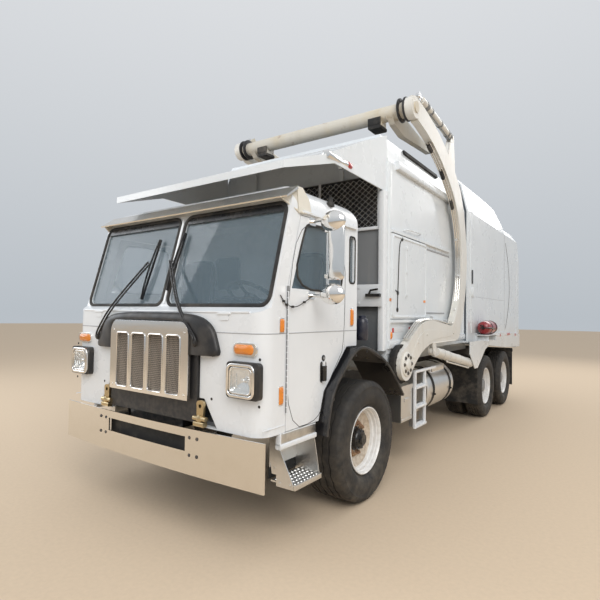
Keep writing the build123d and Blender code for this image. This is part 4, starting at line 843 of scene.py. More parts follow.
@dataclass
class Studio:
    """Pale floor, soft lights and the camera at the photo's angle."""

    eye: Point = (3.164, -6.629, 1.703)
    forward: Point = (-0.5794, 0.8145, 0.0288)
    roll: float = 0.0145
    lens: float = 27.64
    floor_colour: Colour = (0.64, 0.51, 0.37)
    sky_strength: float = 0.78

    def camera(self) -> None:
        """Makes the scene's camera from its place, direction and roll."""
        look = Vector(self.forward).normalized()
        right = look.cross(Vector((0.0, 0.0, 1.0))).normalized()
        up = right.cross(look)
        turned = right * math.cos(self.roll) + up * math.sin(self.roll)
        axes = Matrix((turned, turned.cross(look), -look)).transposed()
        data = bpy.data.cameras.new("camera")
        data.lens, data.sensor_width = self.lens, 36.0
        data.clip_start, data.clip_end = 0.05, 200.0
        made = bpy.data.objects.new("camera", data)
        made.matrix_world = Matrix.Translation(Vector(self.eye)) @ axes.to_4x4()
        bpy.context.scene.collection.objects.link(made)
        bpy.context.scene.camera = made

    def lamp(self, name: str, place: Point, size: float, power: float, colour: Colour) -> None:
        """Makes a square area light that faces the truck's middle.

        Args:
            name: The light's name.
            place: Where it stands.
            size: Side of its square in metres.
            power: Watts.
            colour: Its colour.
        """
        data = bpy.data.lights.new(name, "AREA")
        data.size, data.energy, data.color = size, power, colour
        made = bpy.data.objects.new(name, data)
        made.location = place
        made.rotation_mode = "QUATERNION"
        made.rotation_quaternion = (Vector((0.0, -0.5, 1.5)) - Vector(place)).to_track_quat("-Z", "Y")
        bpy.context.scene.collection.objects.link(made)

    def sky(self) -> None:
        """Lights the scene with a pale dome, brighter overhead than at the horizon."""
        world = bpy.data.worlds.new("studio")
        world.use_nodes = True
        bpy.context.scene.world = world
        tree = world.node_tree
        coords = tree.nodes.new("ShaderNodeTexCoord")
        split = tree.nodes.new("ShaderNodeSeparateXYZ")
        ramp = tree.nodes.new("ShaderNodeValToRGB")
        tree.links.new(coords.outputs["Generated"], split.inputs["Vector"])
        tree.links.new(split.outputs["Z"], ramp.inputs["Fac"])
        ramp.color_ramp.elements[0].position = 0.0
        ramp.color_ramp.elements[0].color = (0.62, 0.67, 0.72, 1.0)
        ramp.color_ramp.elements[1].position = 0.65
        ramp.color_ramp.elements[1].color = (0.95, 0.97, 1.0, 1.0)
        background = tree.nodes["Background"]
        tree.links.new(ramp.outputs["Color"], background.inputs["Color"])
        background.inputs["Strength"].default_value = self.sky_strength

    def floor(self) -> None:
        """Lays the floor, a wide flat disc with a faint grain."""
        ring = circle(60.0, 64)
        points = np.column_stack((ring, np.full(64, -0.001)))
        board = Board("studio_floor")
        grain = board.span(board.noise(30.0, 6.0), 0.3, 0.7)
        dark = tuple(0.94 * c for c in self.floor_colour)
        board.set(Base_Color=board.mix(grain, self.floor_colour, dark), Roughness=0.9)
        shape = Shape().put(points, [np.arange(64)[None, :]])
        shape.build("floor", board.material)

    def build(self) -> None:
        """Makes the camera, the lights and the floor."""
        self.camera()
        self.sky()
        self.floor()
        self.lamp("key", (7.5, -9.0, 8.5), 7.0, 800.0, (1.0, 0.98, 0.95))
        self.lamp("fill", (-9.0, -7.0, 5.0), 6.0, 300.0, (0.93, 0.96, 1.0))
        self.lamp("back", (2.0, 11.0, 9.0), 7.0, 500.0, (1.0, 0.99, 0.97))
        scene = bpy.context.scene
        scene.view_settings.view_transform = "Standard"
        scene.view_settings.look = "None"
        scene.view_settings.exposure = 0.0


def resampled(points: Sequence[Point], count: int) -> np.ndarray:
    """Returns a line's points spaced evenly along its length."""
    line = np.asarray(points, dtype=float)
    run = np.concatenate(([0.0], np.cumsum(np.linalg.norm(np.diff(line, axis=0), axis=1))))
    spots = np.linspace(0.0, run[-1], count)
    return np.stack([np.interp(spots, run, line[:, k]) for k in range(line.shape[1])], axis=-1)


def holed(shape: Shape, loops: Sequence[np.ndarray], origin: Point, u: Point, v: Point,
          thickness: float) -> None:
    """Adds a flat plate with holes.

    A point (p, q) becomes origin + p u + q v, and again with the thickness added along
    u x v; both faces are filled between the loops and every loop gets a wall.

    Args:
        shape: Where the plate goes.
        loops: The outer loop and then the holes.
        origin: Where (0, 0) lies.
        u: Direction of the first coordinate.
        v: Direction of the second coordinate.
        thickness: Distance between the two faces.
    """
    u_axis, v_axis, normal = directions(u, v)
    flat = np.concatenate([np.asarray(loop, dtype=float) for loop in loops])
    base = np.asarray(origin, dtype=float) + flat[:, :1] * u_axis + flat[:, 1:] * v_axis
    rings = [[Vector((p, q, 0.0)) for p, q in loop] for loop in loops]
    fill = np.array(tessellate_polygon(rings))
    a, b, c = flat[fill[:, 0]], flat[fill[:, 1]], flat[fill[:, 2]]
    turn = (b[:, 0] - a[:, 0]) * (c[:, 1] - a[:, 1]) - (b[:, 1] - a[:, 1]) * (c[:, 0] - a[:, 0])
    fill = np.where(turn[:, None] > 0, fill, fill[:, ::-1])
    count, start, walls = len(flat), 0, []
    for order, loop in enumerate(loops):
        ring = start + np.arange(len(loop))
        area = np.sum(flat[ring, 0] * np.roll(flat[ring, 1], -1) - np.roll(flat[ring, 0], -1) * flat[ring, 1])
        if (area > 0) != (order == 0):
            ring = ring[::-1]
        after = np.roll(ring, -1)
        walls.append(np.stack((ring, after, after + count, ring + count), axis=-1))
        start += len(loop)
    both = np.concatenate((base, base + thickness * normal))
    shape.put(both, [fill[:, ::-1], fill + count, *walls])


def lens(shape: Shape, loop: np.ndarray, origin: Point, u: Point, v: Point, height: float,
         rings: int = 6) -> None:
    """Adds a cushion-shaped lens over a loop.

    A loop point p becomes origin + cos(w) p + height sin(w) (u x v), with w rising from
    0 at the rim to 90 degrees in the middle.

    Args:
        shape: Where the lens goes.
        loop: Its rim, points (p, q) about its middle.
        origin: Where the middle of the rim lies.
        u: Direction of the first coordinate.
        v: Direction of the second coordinate.
        height: How far the middle stands up.
        rings: Steps from the rim to the middle.
    """
    u_axis, v_axis, up = directions(u, v)
    turn = np.linspace(0.0, math.radians(86.0), rings)
    rim = loop[:, :1] * u_axis + loop[:, 1:] * v_axis
    points = np.cos(turn)[:, None, None] * rim + height * np.sin(turn)[:, None, None] * up
    shape.grid(points + np.asarray(origin, dtype=float), wrap_v=True, caps=True)


def mesh_panel(shape: Shape, low: Point, high: Point, pitch: float, wire: float, origin: Point, u: Point,
               v: Point) -> None:
    """Adds woven wire between two corners.

    A wire at p runs along q as origin + p u + q v + wire cos(pi q / pitch) (u x v), and
    the wires across it are half a wave out, so that they pass over and under.

    Args:
        shape: Where the wires go.
        low: Lower (p, q) corner.
        high: Upper (p, q) corner.
        pitch: Distance between wires.
        wire: Radius of a wire.
        origin: Where (0, 0) lies.
        u: Direction of p.
        v: Direction of q.
    """
    u_axis, v_axis, up = directions(u, v)
    base = np.asarray(origin, dtype=float)
    for flip, (across, along) in enumerate(((u_axis, v_axis), (v_axis, u_axis))):
        start, end = (low[flip], high[flip]), (low[1 - flip], high[1 - flip])
        places = np.arange(start[0] + pitch / 2, start[1], pitch)
        run = np.arange(end[0], end[1] + pitch / 4, pitch / 2)
        for order, place in enumerate(places):
            wave = wire * np.cos(math.pi * (run - end[0] - pitch / 2) / pitch + math.pi * (order + flip))
            path = base + place * across + run[:, None] * along + wave[:, None] * up
            shape.sweep(path, circle(wire, 4), side=across)


@dataclass
class Tyre:
    """Radial truck tyre with zigzag grooves and notched shoulders."""

    centre: Point
    radius: float
    width: float
    bead: float = 0.302
    depth: float = 0.013
    steps: int = 192

    def section(self) -> np.ndarray:
        """Section from the outer bead over the tread to the inner one and back inside the rim.

        Returns:
            Rows of (distance from the middle, radius, notch depth, zigzag share).
        """
        half, crown = self.width / 2, self.radius
        wall = crown - self.bead
        side = [(half - 0.050, self.bead, 0, 0), (half - 0.047, self.bead + 0.016, 0, 0),
                (half - 0.032, self.bead + 0.028, 0, 0), (half - 0.014, self.bead + 0.2 * wall, 0, 0),
                (half - 0.004, self.bead + 0.33 * wall, 0, 0), (half, self.bead + 0.46 * wall, 0, 0),
                (half - 0.003, self.bead + 0.62 * wall, 0, 0), (half - 0.010, crown - 0.25 * wall, 0, 0),
                (half - 0.007, crown - 0.22 * wall, 0, 0), (half - 0.014, crown - 0.13 * wall, 0.004, 0),
                (half - 0.020, crown - 0.022, 0.009, 0), (half - 0.030, crown - 0.009, 0.010, 0),
                (half - 0.046, crown - 0.003, 0.0, 0)]
        reach = half - 0.045
        for share in (0.62, 0.22):
            middle = share * reach
            for offset, cut in ((0.008, 0.0), (0.005, self.depth), (-0.005, self.depth), (-0.008, 0.0)):
                side.append((middle + offset, crown - cut, 0, 1))
        outer = np.array(side)
        inner = outer[::-1] * np.array((-1, 1, 1, 1))
        inside = np.array(((0.060 - half, self.bead - 0.012, 0, 0), (half - 0.060, self.bead - 0.012, 0, 0)))
        return np.concatenate((outer, inner, inside))

    def add(self, shape: Shape) -> None:
        """Adds the tyre to a shape.

        A row (a, r, n, z) at turn t becomes centre + (a + 0.006 z tri(24 t)) X +
        (r - n cut(48 t)) (cos t Y + sin t Z), where tri is a triangle wave and cut
        is one over the first quarter of each pitch.

        Args:
            shape: Where its surface goes.
        """
        a, r, notch, zigzag = (column[:, None] for column in self.section().T)
        share = np.arange(self.steps)[None, :] / self.steps
        wave = 4.0 * np.abs((24.0 * share) % 1.0 - 0.5) - 1.0
        cut = ((48.0 * share) % 1.0 < 0.24).astype(float)
        radius = r - notch * cut
        turn = 2.0 * math.pi * share
        points = np.stack(np.broadcast_arrays(a + 0.006 * zigzag * wave, radius * np.cos(turn),
                                              radius * np.sin(turn)), axis=-1)
        shape.grid(points + np.asarray(self.centre), wrap_u=True, wrap_v=True)


@dataclass
class Rim:
    """Steel wheel: a stepped barrel with flanges, and a dished disc."""

    centre: Point
    half: float
    disc: float
    sign: float
    bore: float = 0.098

    def barrel(self, shape: Shape) -> None:
        """Adds the barrel, a turned loop of flange, steps and well."""
        h = self.half
        foot = max(self.disc + 0.05, -h + 0.02)
        loop = [(h - 0.012, 0.3015), (h - 0.003, 0.3025), (h, 0.298), (h - 0.001, 0.292), (h - 0.007, 0.287),
                (h - 0.034, 0.283), (h - 0.041, 0.276), (h - 0.066, 0.273), (h - 0.075, 0.262), (foot, 0.256),
                (foot - 0.006, 0.262), (-h + 0.03, 0.270), (-h, 0.290), (-h, 0.3015), (-h + 0.012, 0.3015),
                (-h + 0.015, 0.2875), (h - 0.015, 0.2875)]
        shape.lathe(self.centre, loop, 72, Axis.X, self.sign)

    def web(self, shape: Shape) -> None:
        """Adds the disc, a turned loop that rises from the bolt face to the barrel."""
        d = self.disc
        foot = max(d + 0.052, -self.half + 0.022)
        loop = [(foot, 0.2575), (foot - 0.010, 0.252), (d + 0.034, 0.238), (d + 0.019, 0.214),
                (d + 0.016, 0.190), (d + 0.022, 0.176), (d + 0.016, 0.166), (d + 0.014, self.bore),
                (d, self.bore), (d + 0.002, 0.166), (d + 0.010, 0.180), (d + 0.002, 0.194),
                (d + 0.006, 0.222), (d + 0.022, 0.246), (foot - 0.006, 0.262)]
        shape.lathe(self.centre, loop, 72, Axis.X, self.sign)

    def spots(self, count: int, radius: float, depth: float, start: float = 0.0) -> np.ndarray:
        """Returns points on a circle about the axle, at a distance outwards from the middle."""
        ring = circle(radius, count, start)
        along = np.full((count, 1), self.sign * depth)
        return np.hstack((along, ring)) + np.asarray(self.centre)


@dataclass
class Wheels(Assembly):
    """All wheels: two steered ones and four twin pairs."""

    front_station: float = 1.536
    rear_stations: tuple[float, float] = (5.98, 7.33)
    front_x: float = 1.028
    rear_x: tuple[float, float] = (0.743, 1.08)
    front_radius: float = 0.545
    front_width: float = 0.425
    rear_radius: float = 0.515
    rear_width: float = 0.279
    bolt_circle: float = 0.142

    def studs(self, body: str, rims: Sequence[Rim], face: float, hub: Sequence[Point],
              hub_finish: object) -> None:
        """Adds a hub with its cap and ten nuts on long studs.

        Args:
            body: The wheel's body.
            rims: The rims, the outer one first.
            face: Distance of the bolt face from the outer rim's middle.
            hub: Open outline of the hub and its cap.
            hub_finish: The hub's material.
        """
        rim = rims[0]
        normal = (rim.sign, 0.0, 0.0)
        nuts = Shape().bolts(rim.spots(10, self.bolt_circle, face), normal, 0.020, 0.030)
        for spot in rim.spots(10, self.bolt_circle, face + 0.028):
            nuts.plate(circle(0.010, 8), spot, (0, 1, 0), (0, 0, rim.sign), 0.014)
        self.add(nuts, f"{body}_nuts", self.finishes.rusty, "rim_white", body=body, recalc=True)
        cap = Shape().dome(rim.centre, hub, 48, Axis.X, rim.sign)
        for spot in rim.spots(8, 0.078, hub[-3][0] - 0.002, 0.2):
            cap.bolts([spot], normal, 0.008, 0.006)
        self.add(cap, f"{body}_hub", hub_finish, "rim_white", body=body, recalc=True)

    def front(self, side: str, sign: float) -> None:
        """Builds one steered wheel."""
        body = f"{side}_front_wheel"
        centre = at(sign * self.front_x, self.front_station, self.front_radius)
        tread = Shape()
        Tyre(centre, self.front_radius, self.front_width).add(tread)
        self.add(tread, f"{side}_front_tread", self.finishes.tyre, "tyre_rubber", f"{side}_front_tyre",
                 body=body, recalc=True)
        rim = Rim(centre, 0.1765, 0.030, sign)
        barrel, web, hole_shade = Shape(), Shape(), Shape()
        rim.barrel(barrel)
        rim.web(web)
        # Two dark plates on the disc stand for hand holes: their black is painted shade of the openings.
        for spot in rim.spots(2, 0.226, 0.052, 1.30):
            radial = unit(np.asarray(spot - centre) * np.array((0, 1, 1)))
            tilt = unit(np.array((rim.sign, 0, 0)) - 0.45 * radial)
            hole_shade.plate(rounded_box(0.022, 0.046, 0.010, 4), spot, np.cross(tilt, radial), radial, 0.004)
        self.add(barrel, f"{side}_front_barrel", self.finishes.rim, "rim_white", f"{side}_front_rim",
                 body=body, recalc=True)
        self.add(web, f"{side}_front_disc", self.finishes.dusty, "rim_white", body=body, recalc=True)
        self.add(hole_shade, f"{side}_front_slots", self.finishes.rubber, "rim_white", body=body, recalc=True)
        hub = [(0.040, 0.110), (0.062, 0.108), (0.070, 0.098), (0.104, 0.094), (0.110, 0.088), (0.116, 0.086),
               (0.122, 0.080), (0.126, 0.062), (0.127, 0.012)]
        self.studs(body, [rim], 0.046, hub, self.finishes.gloss_black)

    def rear(self, side: str, sign: float, axle: str, station: float) -> None:
        """Builds one twin pair."""
        body = f"{side}_{axle}_wheels"
        tread, barrel, web = Shape(), Shape(), Shape()
        rims = []
        for x, facing in ((self.rear_x[1], sign), (self.rear_x[0], -sign)):
            centre = at(sign * x, station, self.rear_radius)
            Tyre(centre, self.rear_radius, self.rear_width).add(tread)
            rims.append(Rim(centre, 0.1045, -0.1485, facing))
            rims[-1].barrel(barrel)
            rims[-1].web(web)
        self.add(tread, f"{body}_tread", self.finishes.tyre, "tyre_rubber", f"{side}_{axle}_tyres", body=body,
                 recalc=True)
        self.add(barrel, f"{body}_barrels", self.finishes.rim, "rim_white", f"{side}_{axle}_rims", body=body,
                 recalc=True)
        self.add(web, f"{body}_discs", self.finishes.dusty, "rim_white", body=body, recalc=True)
        hub = [(-0.13, 0.112), (-0.03, 0.110), (-0.02, 0.130), (0.004, 0.130), (0.014, 0.112), (0.060, 0.104),
               (0.072, 0.090), (0.078, 0.060), (0.080, 0.012)]
        self.studs(body, rims, -0.134, hub, self.finishes.grey)

    def build(self) -> None:
        """Builds every wheel."""
        for side, sign in SIDES:
            self.front(side, sign)
            for axle, station in zip(("drive", "tag"), self.rear_stations):
                self.rear(side, sign, axle, station)


@dataclass
class Grille(Assembly):
    """Chrome frame with four mesh bays in a moulded black hood."""

    face: float = 0.010
    bottom: float = 1.040
    top: float = 1.626
    half: float = 0.498
    corner: Point = (0.09, 0.11)
    bays: tuple[Point, ...] = ((-0.403, -0.247), (-0.197, -0.025), (0.025, 0.197), (0.247, 0.403))
    bay_middle: float = 1.2945
    bay_height: float = 0.445

    def frame(self) -> None:
        """Makes the chrome frame and its bolts."""
        shape = Shape()
        wide, tall = self.corner
        corner = arc_points((0, 0), 1.0, 0, 90, 9) * (wide, tall) + (self.half - wide, self.top - tall)
        rim = np.concatenate((((self.half, self.bottom),), corner))
        outer = np.concatenate((rim, (rim * (-1.0, 1.0))[::-1]))
        holes = [rounded_box(b - a, self.bay_height, 0.024) + ((a + b) / 2, self.bay_middle) for a,
                 b in self.bays]
        holed(shape, [outer, *holes], at(0, self.face + 0.026, 0), *FRONTWAYS, 0.026)
        for a, b in self.bays:
            loop = rounded_box(b - a + 0.008, self.bay_height + 0.008, 0.028, 6)
            path = at((a + b) / 2, self.face, self.bay_middle) + facing(loop)
            shape.tube(path, 0.0065, 8, closed=True)
        spots = [at(x, self.face, z) for x in (-0.455, 0.455) for z in (1.075, 1.54)]
        shape.bolts(spots, (0, -1, 0), 0.008, 0.006)
        self.add(shape, "grille_frame", self.finishes.chrome, "chrome_trim", "grille", bevel=0.003)

    def mesh(self) -> None:
        """Makes the woven panels behind the frame."""
        shape = Shape()
        for a, b in self.bays:
            mesh_panel(shape, (a - 0.01, 1.065), (b + 0.01, 1.525), 0.015, 0.0022, at(0, 0.040, 0),
                       *FRONTWAYS)
        self.add(shape, "grille_mesh", self.finishes.bronze, "chrome_trim", "grille")

    def hood(self) -> None:
        """Makes the surround, a band from the frame's edge P(t) to its own edge Q(t).

        Its points are (1 - w) P(t) + w Q(t), with the depth a function of w alone.
        """
        inner = softened([(0.499, 1.384), (0.499, 1.560), (0.470, 1.632), (0.0, 1.632)], 3)
        outer = softened([(0.740, 1.382), (0.775, 1.395), (0.760, 1.450), (0.700, 1.610), (0.500, 1.694),
                          (0.0, 1.694)], 3)
        pair = [resampled(line, 40) for line in (inner, outer)]
        p, q = (np.concatenate((line, (line * (-1.0, 1.0))[-2::-1])) for line in pair)
        share = np.array((0.0, 0.0, 0.03, 0.10, 0.22, 0.45, 0.66, 0.80, 0.92, 0.98, 1.0, 1.0))
        depth = np.array((0.060, 0.032, 0.026, 0.022, 0.020, 0.022, 0.027, 0.033, 0.042, 0.052, 0.064, 0.084))
        flat = (1 - share)[None, :, None] * p[:, None, :] + share[None, :, None] * q[:, None, :]
        points = np.stack((flat[..., 0], np.broadcast_to(depth - HALF_LENGTH, flat.shape[:2]), flat[..., 1]),
                          axis=-1)
        shape = Shape().grid(points, caps=True)
        self.add(shape, "grille_hood", self.finishes.plastic, "black_plastic", "grille_surround", recalc=True)

    def build(self) -> None:
        """Makes the frame, the mesh and the hood."""
        self.frame()
        self.mesh()
        self.hood()


@dataclass
class FrontLamps(Assembly):
    """Square headlamps in black housings, and turn lamps over them."""

    centre: Point = (1.014, 0.020, 1.236)
    size: float = 0.236
    turn: Point = (1.004, 0.052, 1.447)

    def headlamp(self) -> None:
        """Makes housing, bezel, stepped reflector, bulb and glass of both headlamps."""
        x, s, z = self.centre
        back = Shape()
        hole = rounded_box(0.206, 0.184, 0.034, 6) - (0.006, 0.0)
        holed(back, [rounded_box(0.300, 0.252, 0.030, 6), hole], at(x + 0.006, 0.081, z), *FRONTWAYS, 0.045)
        self.pair(back, "headlamp_housings", self.finishes.plastic, "black_plastic", "headlamps", bevel=0.004,
                  recalc=True)
        loop = rounded_box(self.size, self.size * 0.90, 0.040, 7)
        path = at(x, s + 0.008, z) + facing(loop)
        ring = Shape().sweep(path, rounded_box(0.022, 0.030, 0.007, 4), closed=True, side=(0, 1, 0))
        gap = Shape().sweep(path - 0.10 * facing(loop), rounded_box(0.008, 0.012, 0.003, 3), closed=True,
                            side=(0, 1, 0))
        self.pair(gap, "headlamp_gaskets", self.finishes.gloss_black, "black_plastic", "headlamps", smooth=60)
        path = at(x, s + 0.004, z) + 0.82 * facing(loop)
        ring.sweep(path, rounded_box(0.012, 0.012, 0.003, 3), closed=True, side=(0, 1, 0))
        self.pair(ring, "headlamp_bezels", self.finishes.chrome, "chrome_trim", "headlamps", smooth=60)
        share = 0.80 * np.array((1.0, 0.96, 0.95, 0.84, 0.83, 0.68, 0.67, 0.46, 0.32, 0.18, 0.12))
        depth = np.array((0.0, 0.001, 0.010, 0.012, 0.020, 0.022, 0.029, 0.033, 0.037, 0.040, 0.041))
        bowl = np.stack((share[:, None] * loop[None, :, 0], np.broadcast_to(depth[:, None], (11, len(loop))),
                         share[:, None] * loop[None, :, 1]), axis=-1) + at(x, s + 0.012, z)
        mirror = Shape().grid(bowl, wrap_v=True)
        mirror.dome(at(x, s + 0.012, z), ((0.040, 0.016), (0.018, 0.016), (0.012, 0.012), (0.009, 0.001)), 20,
                    Axis.Y)
        self.pair(mirror, "headlamp_reflectors", self.finishes.chrome, "chrome_trim", "headlamps", smooth=30)
        glass = Shape()
        lens(glass, loop * 0.94, at(x, s + 0.006, z), *FRONTWAYS, 0.007)
        self.pair(glass, "headlamp_glass", self.finishes.clear, "lamp_lens", "headlamps", smooth=80)

    def turn_lamps(self) -> None:
        """Makes the amber lamps on chrome bases, on the front and the sides."""
        x, s, z = self.turn
        base, shell = Shape(), Shape()
        base.plate(rounded_box(0.214, 0.090, 0.036, 6), at(x + 0.008, 0.081, z), *FRONTWAYS, 0.016)
        lens(shell, rounded_box(0.182, 0.070, 0.030, 7), at(x, s + 0.014, z), *FRONTWAYS, 0.024, 5)
        for station, height, length, tall in ((0.281, 1.614, 0.042, 0.096), (0.281, 1.118, 0.042, 0.124),
                                              (1.292, 1.675, 0.048, 0.150)):
            base.plate(rounded_box(length + 0.012, tall + 0.014, 0.010), at(1.1645, station, height),
                       *SIDEWAYS, 0.006)
            lens(shell, rounded_box(length, tall, 0.010, 5), at(1.1705, station, height), *SIDEWAYS, 0.014, 5)
        self.pair(base, "turn_lamp_bases", self.finishes.chrome, "chrome_trim", "amber_lamps", bevel=0.002)
        self.pair(shell, "turn_lenses", self.finishes.amber, "amber_lens", "amber_lamps", smooth=50)

    def roof_lamps(self) -> None:
        """Makes five low amber domes on the roof."""
        base, shell = Shape(), Shape()
        for x in (-0.6, -0.3, 0.0, 0.3, 0.6):
            place = at(x, 0.760, 2.688)
            base.dome(place, ((0.0, 0.050), (0.012, 0.050), (0.016, 0.044), (0.016, 0.001)), 28, Axis.Z)
            shell.dome(place, ((0.010, 0.042), (0.026, 0.040), (0.040, 0.030), (0.049, 0.014),
                               (0.051, 0.001)), 28, Axis.Z)
        self.add(base, "roof_lamp_bases", self.finishes.chrome, "chrome_trim", "amber_lamps")
        self.add(shell, "roof_lenses", self.finishes.amber, "amber_lens", "amber_lamps", smooth=60)

    def build(self) -> None:
        """Makes all the cab's lamps."""
        self.headlamp()
        self.turn_lamps()
        self.roof_lamps()


@dataclass
class Windshield(Assembly):
    """Rubber seals, centre strip and wipers over the two panes, the wipers passing over the ledge below."""

    foot: Point = (0.170, 1.745)
    head: Point = (0.385, 2.540)
    middle: float = 0.5825
    width: float = 1.100
    height: float = 0.797
    ledge: float = 0.040

    def on(self, x: float, z: float, out: float = 0.0) -> np.ndarray:
        """Returns the point of the windshield's plane at X and Z, moved out along its normal."""
        slope = (self.head[0] - self.foot[0]) / (self.head[1] - self.foot[1])
        normal = unit(np.array((0.0, -1.0, slope)))
        return at(x, self.foot[0] + slope * (z - self.foot[1]), z) + out * normal

    def seals(self) -> None:
        """Makes the rubber round each pane and the bright strip between them."""
        rise = unit(self.on(0, 2.5) - self.on(0, 1.8))
        normal = np.cross(np.array((1.0, 0.0, 0.0)), rise)
        loop = rounded_box(self.width, self.height, 0.080, 9)
        centre = self.on(self.middle, 2.1375, 0.002)
        path = centre + loop[:, :1] * np.array((1.0, 0.0, 0.0)) + loop[:, 1:] * rise
        rubber = Shape().sweep(path, rounded_box(0.030, 0.018, 0.007, 4), closed=True, side=normal)
        self.pair(rubber, "windshield_seals", self.finishes.rubber, "black_rubber", smooth=60)
        strip = Shape().plate(rounded_box(0.024, 0.77, 0.005), self.on(0, 2.1375, 0.001), (1, 0, 0), rise,
                              0.009)
        self.add(strip, "windshield_strip", self.finishes.white, "white_paint", bevel=0.003)

    def wiper(self, shape: Shape, base: Point, knee: Point, top: Point, low: Point) -> None:
        """Adds one wiper: two rods from the base to the knee, a blade holder and a blade.

        Args:
            shape: Where it goes.
            base: Base as (x, station, z).
            knee: Knee as (x, z) on the glass's plane.
            top: Blade's upper end as (x, z).
            low: Blade's lower end as (x, z).
        """
        foot, bend = at(*base), self.on(*knee, 0.045)
        middle = (self.on(*top, 0.020) + self.on(*low, 0.020)) / 2
        rise = (self.foot[1] - base[2]) / (knee[1] - base[2])
        over = at(base[0] + rise * (knee[0] - base[0]), self.ledge, self.foot[1])
        for lift in (0.0, 0.030):
            side = np.array((lift, 0.0, -0.4 * lift))
            path = np.stack((foot + side, foot + side + (0.01, -0.003, 0.05), over + side, bend + side))
            shape.tube(softened(path, 3), 0.008, 8)
        shape.tube(np.stack((bend, bend + (0.015, -0.004, -0.01), middle + (0, -0.02, 0))), 0.005, 6)
        ends = self.on(*top, 0.022), self.on(*low, 0.022)
        run = ends[0] + np.linspace(0.0, 1.0, 9)[:, None] * (ends[1] - ends[0])
        bow = (0.016 * (1.0 - (2.0 * np.linspace(0.0, 1.0, 9) - 1.0) ** 2))[:, None] * np.array((0.0, -1.0,
                                                                                                 0.26))
        shape.sweep(run + bow, rounded_box(0.016, 0.008, 0.003), side=(1, 0, 0))
        ends = self.on(*top, 0.010), self.on(*low, 0.010)
        run = ends[0] + np.linspace(0.0, 1.0, 5)[:, None] * (ends[1] - ends[0])
        shape.sweep(run, rounded_box(0.020, 0.010, 0.003), side=(1, 0, 0))
        shape.dome(foot + (0.012, 0.022, 0.0), ((0.0, 0.030), (0.018, 0.026), (0.026, 0.018), (0.028, 0.001)),
                   20, Axis.Y, -1)

    def header(self) -> None:
        """Makes the dark strip along the top of each pane, painted shade standing in for the shaded cab
        header seen through the glass.
        """
        rise = unit(self.on(0, 2.5) - self.on(0, 1.8))
        shape = Shape().plate(rounded_box(1.064, 0.052, 0.024), self.on(self.middle, 2.480, 0.0035),
                              (1, 0, 0), rise, -0.002)
        self.pair(shape, "windshield_header_shade", self.finishes.gloss_black, "black_rubber")

    def build(self) -> None:
        """Makes the seals, the strip, the painted header shade and both wipers."""
        self.seals()
        self.header()
        shape = Shape()
        self.wiper(shape, (-0.760, 0.030, 1.467), (-0.302, 2.125), (-0.245, 2.339), (-0.303, 1.800))
        self.wiper(shape, (0.545, 0.011, 1.470), (-0.010, 2.122), (0.077, 2.375), (0.020, 1.873))
        self.add(shape, "wipers", self.finishes.gloss_black, "black_plastic", smooth=50)


@dataclass
class FrontPanel(Assembly):
    """Bumper bolts, tow hooks, screws, slots and the pressed line round the cab."""

    def hooks(self) -> None:
        """Makes the two brass tow hooks, a holed ear over a thick pin and its foot."""
        shape = Shape()
        ear = softened([(-0.036, -0.040), (0.036, -0.040), (0.034, 0.030), (0.040, 0.075), (0.0, 0.090),
                        (-0.040, 0.075), (-0.034, 0.030)], 2, True)
        holed(shape, [ear, 0.015 * circle(1.0, 20) + (0.0, 0.045)], at(0.598, 0.070, 0.965), *FRONTWAYS,
              0.022)
        shape.tube(np.stack((at(0.532, 0.052, 0.918), at(0.664, 0.052, 0.918))), 0.019, 14)
        shape.dome(at(0.598, 0.030, 0.918), ((0.0, 0.010), (0.006, 0.026), (0.040, 0.030), (0.042, 0.001)),
                   20, Axis.Y)
        shape.bar(at(0.546, 0.030, 0.860), at(0.650, 0.074, 0.896), 0.008)
        self.pair(shape, "tow_hooks", self.finishes.brass, "rod_chrome", smooth=50)

    def bolts(self) -> None:
        """Makes the bumper's bolts and the panel's screws."""
        shape = Shape()
        shape.bolts([at(x, 0.0095 if x < 0.58 else 0.0105, z) for x in (0.535, 0.613) for z in (0.650,
                                                                                                0.778)],
                    (0, -1, 0), 0.009, 0.007)
        self.pair(shape, "bumper_bolts", self.finishes.iron, "chrome_trim")
        slot = Shape().plate(rounded_box(1.060, 0.170, 0.020), at(0.0, 0.064, 0.726), *FRONTWAYS, 0.006)
        self.add(slot, "bumper_slot", self.finishes.rubber, "black_plastic")
        tabs = Shape()
        tabs.plate(rounded_box(0.086, 0.050, 0.012), at(0.800, 0.0805, 1.668), *FRONTWAYS, 0.006)
        tabs.plate(rounded_box(0.130, 0.016, 0.006), at(0.800, 0.0805, 1.694), *FRONTWAYS, 0.012)
        self.pair(tabs, "front_tabs", self.finishes.white, "white_paint", bevel=0.002)
        dark = Shape()
        dark.bolts([at(x, 0.080, z) for x in (0.685, 1.140) for z in (1.068, 1.385)], (0, -1, 0), 0.007,
                   0.004)
        self.pair(dark, "front_screws", self.finishes.gloss_black, "black_plastic")

    def line(self) -> None:
        """Makes the pressed bead that runs round the cab under the windshield, a thin grey strip whose grey
        is painted shade of the pressed groove.
        """
        corner = arc_points((1.045, 0.200), 0.1205, -90, 0, 12)
        flat = np.concatenate((((0.712, 0.0795),), corner, ((1.1655, 0.60), (1.1655, 1.385))))
        path = np.column_stack((flat[:, 0], flat[:, 1] - HALF_LENGTH, np.interp(flat[:, 0], (0.7, 1.17),
                                                                                (1.555, 1.557))))
        shape = Shape().sweep(path, rounded_box(0.004, 0.006, 0.001, 2), side=(0, 0, 1))
        self.pair(shape, "cab_line_shade", self.finishes.seam, "white_paint", smooth=50)
        lip = Shape().bar(at(-1.040, 0.074, 1.697), at(1.040, 0.100, 1.712), 0.005)
        self.add(lip, "cab_ledge", self.finishes.white, "white_paint")

    def build(self) -> None:
        """Makes all of the front's small parts."""
        self.hooks()
        self.bolts()
        self.line()


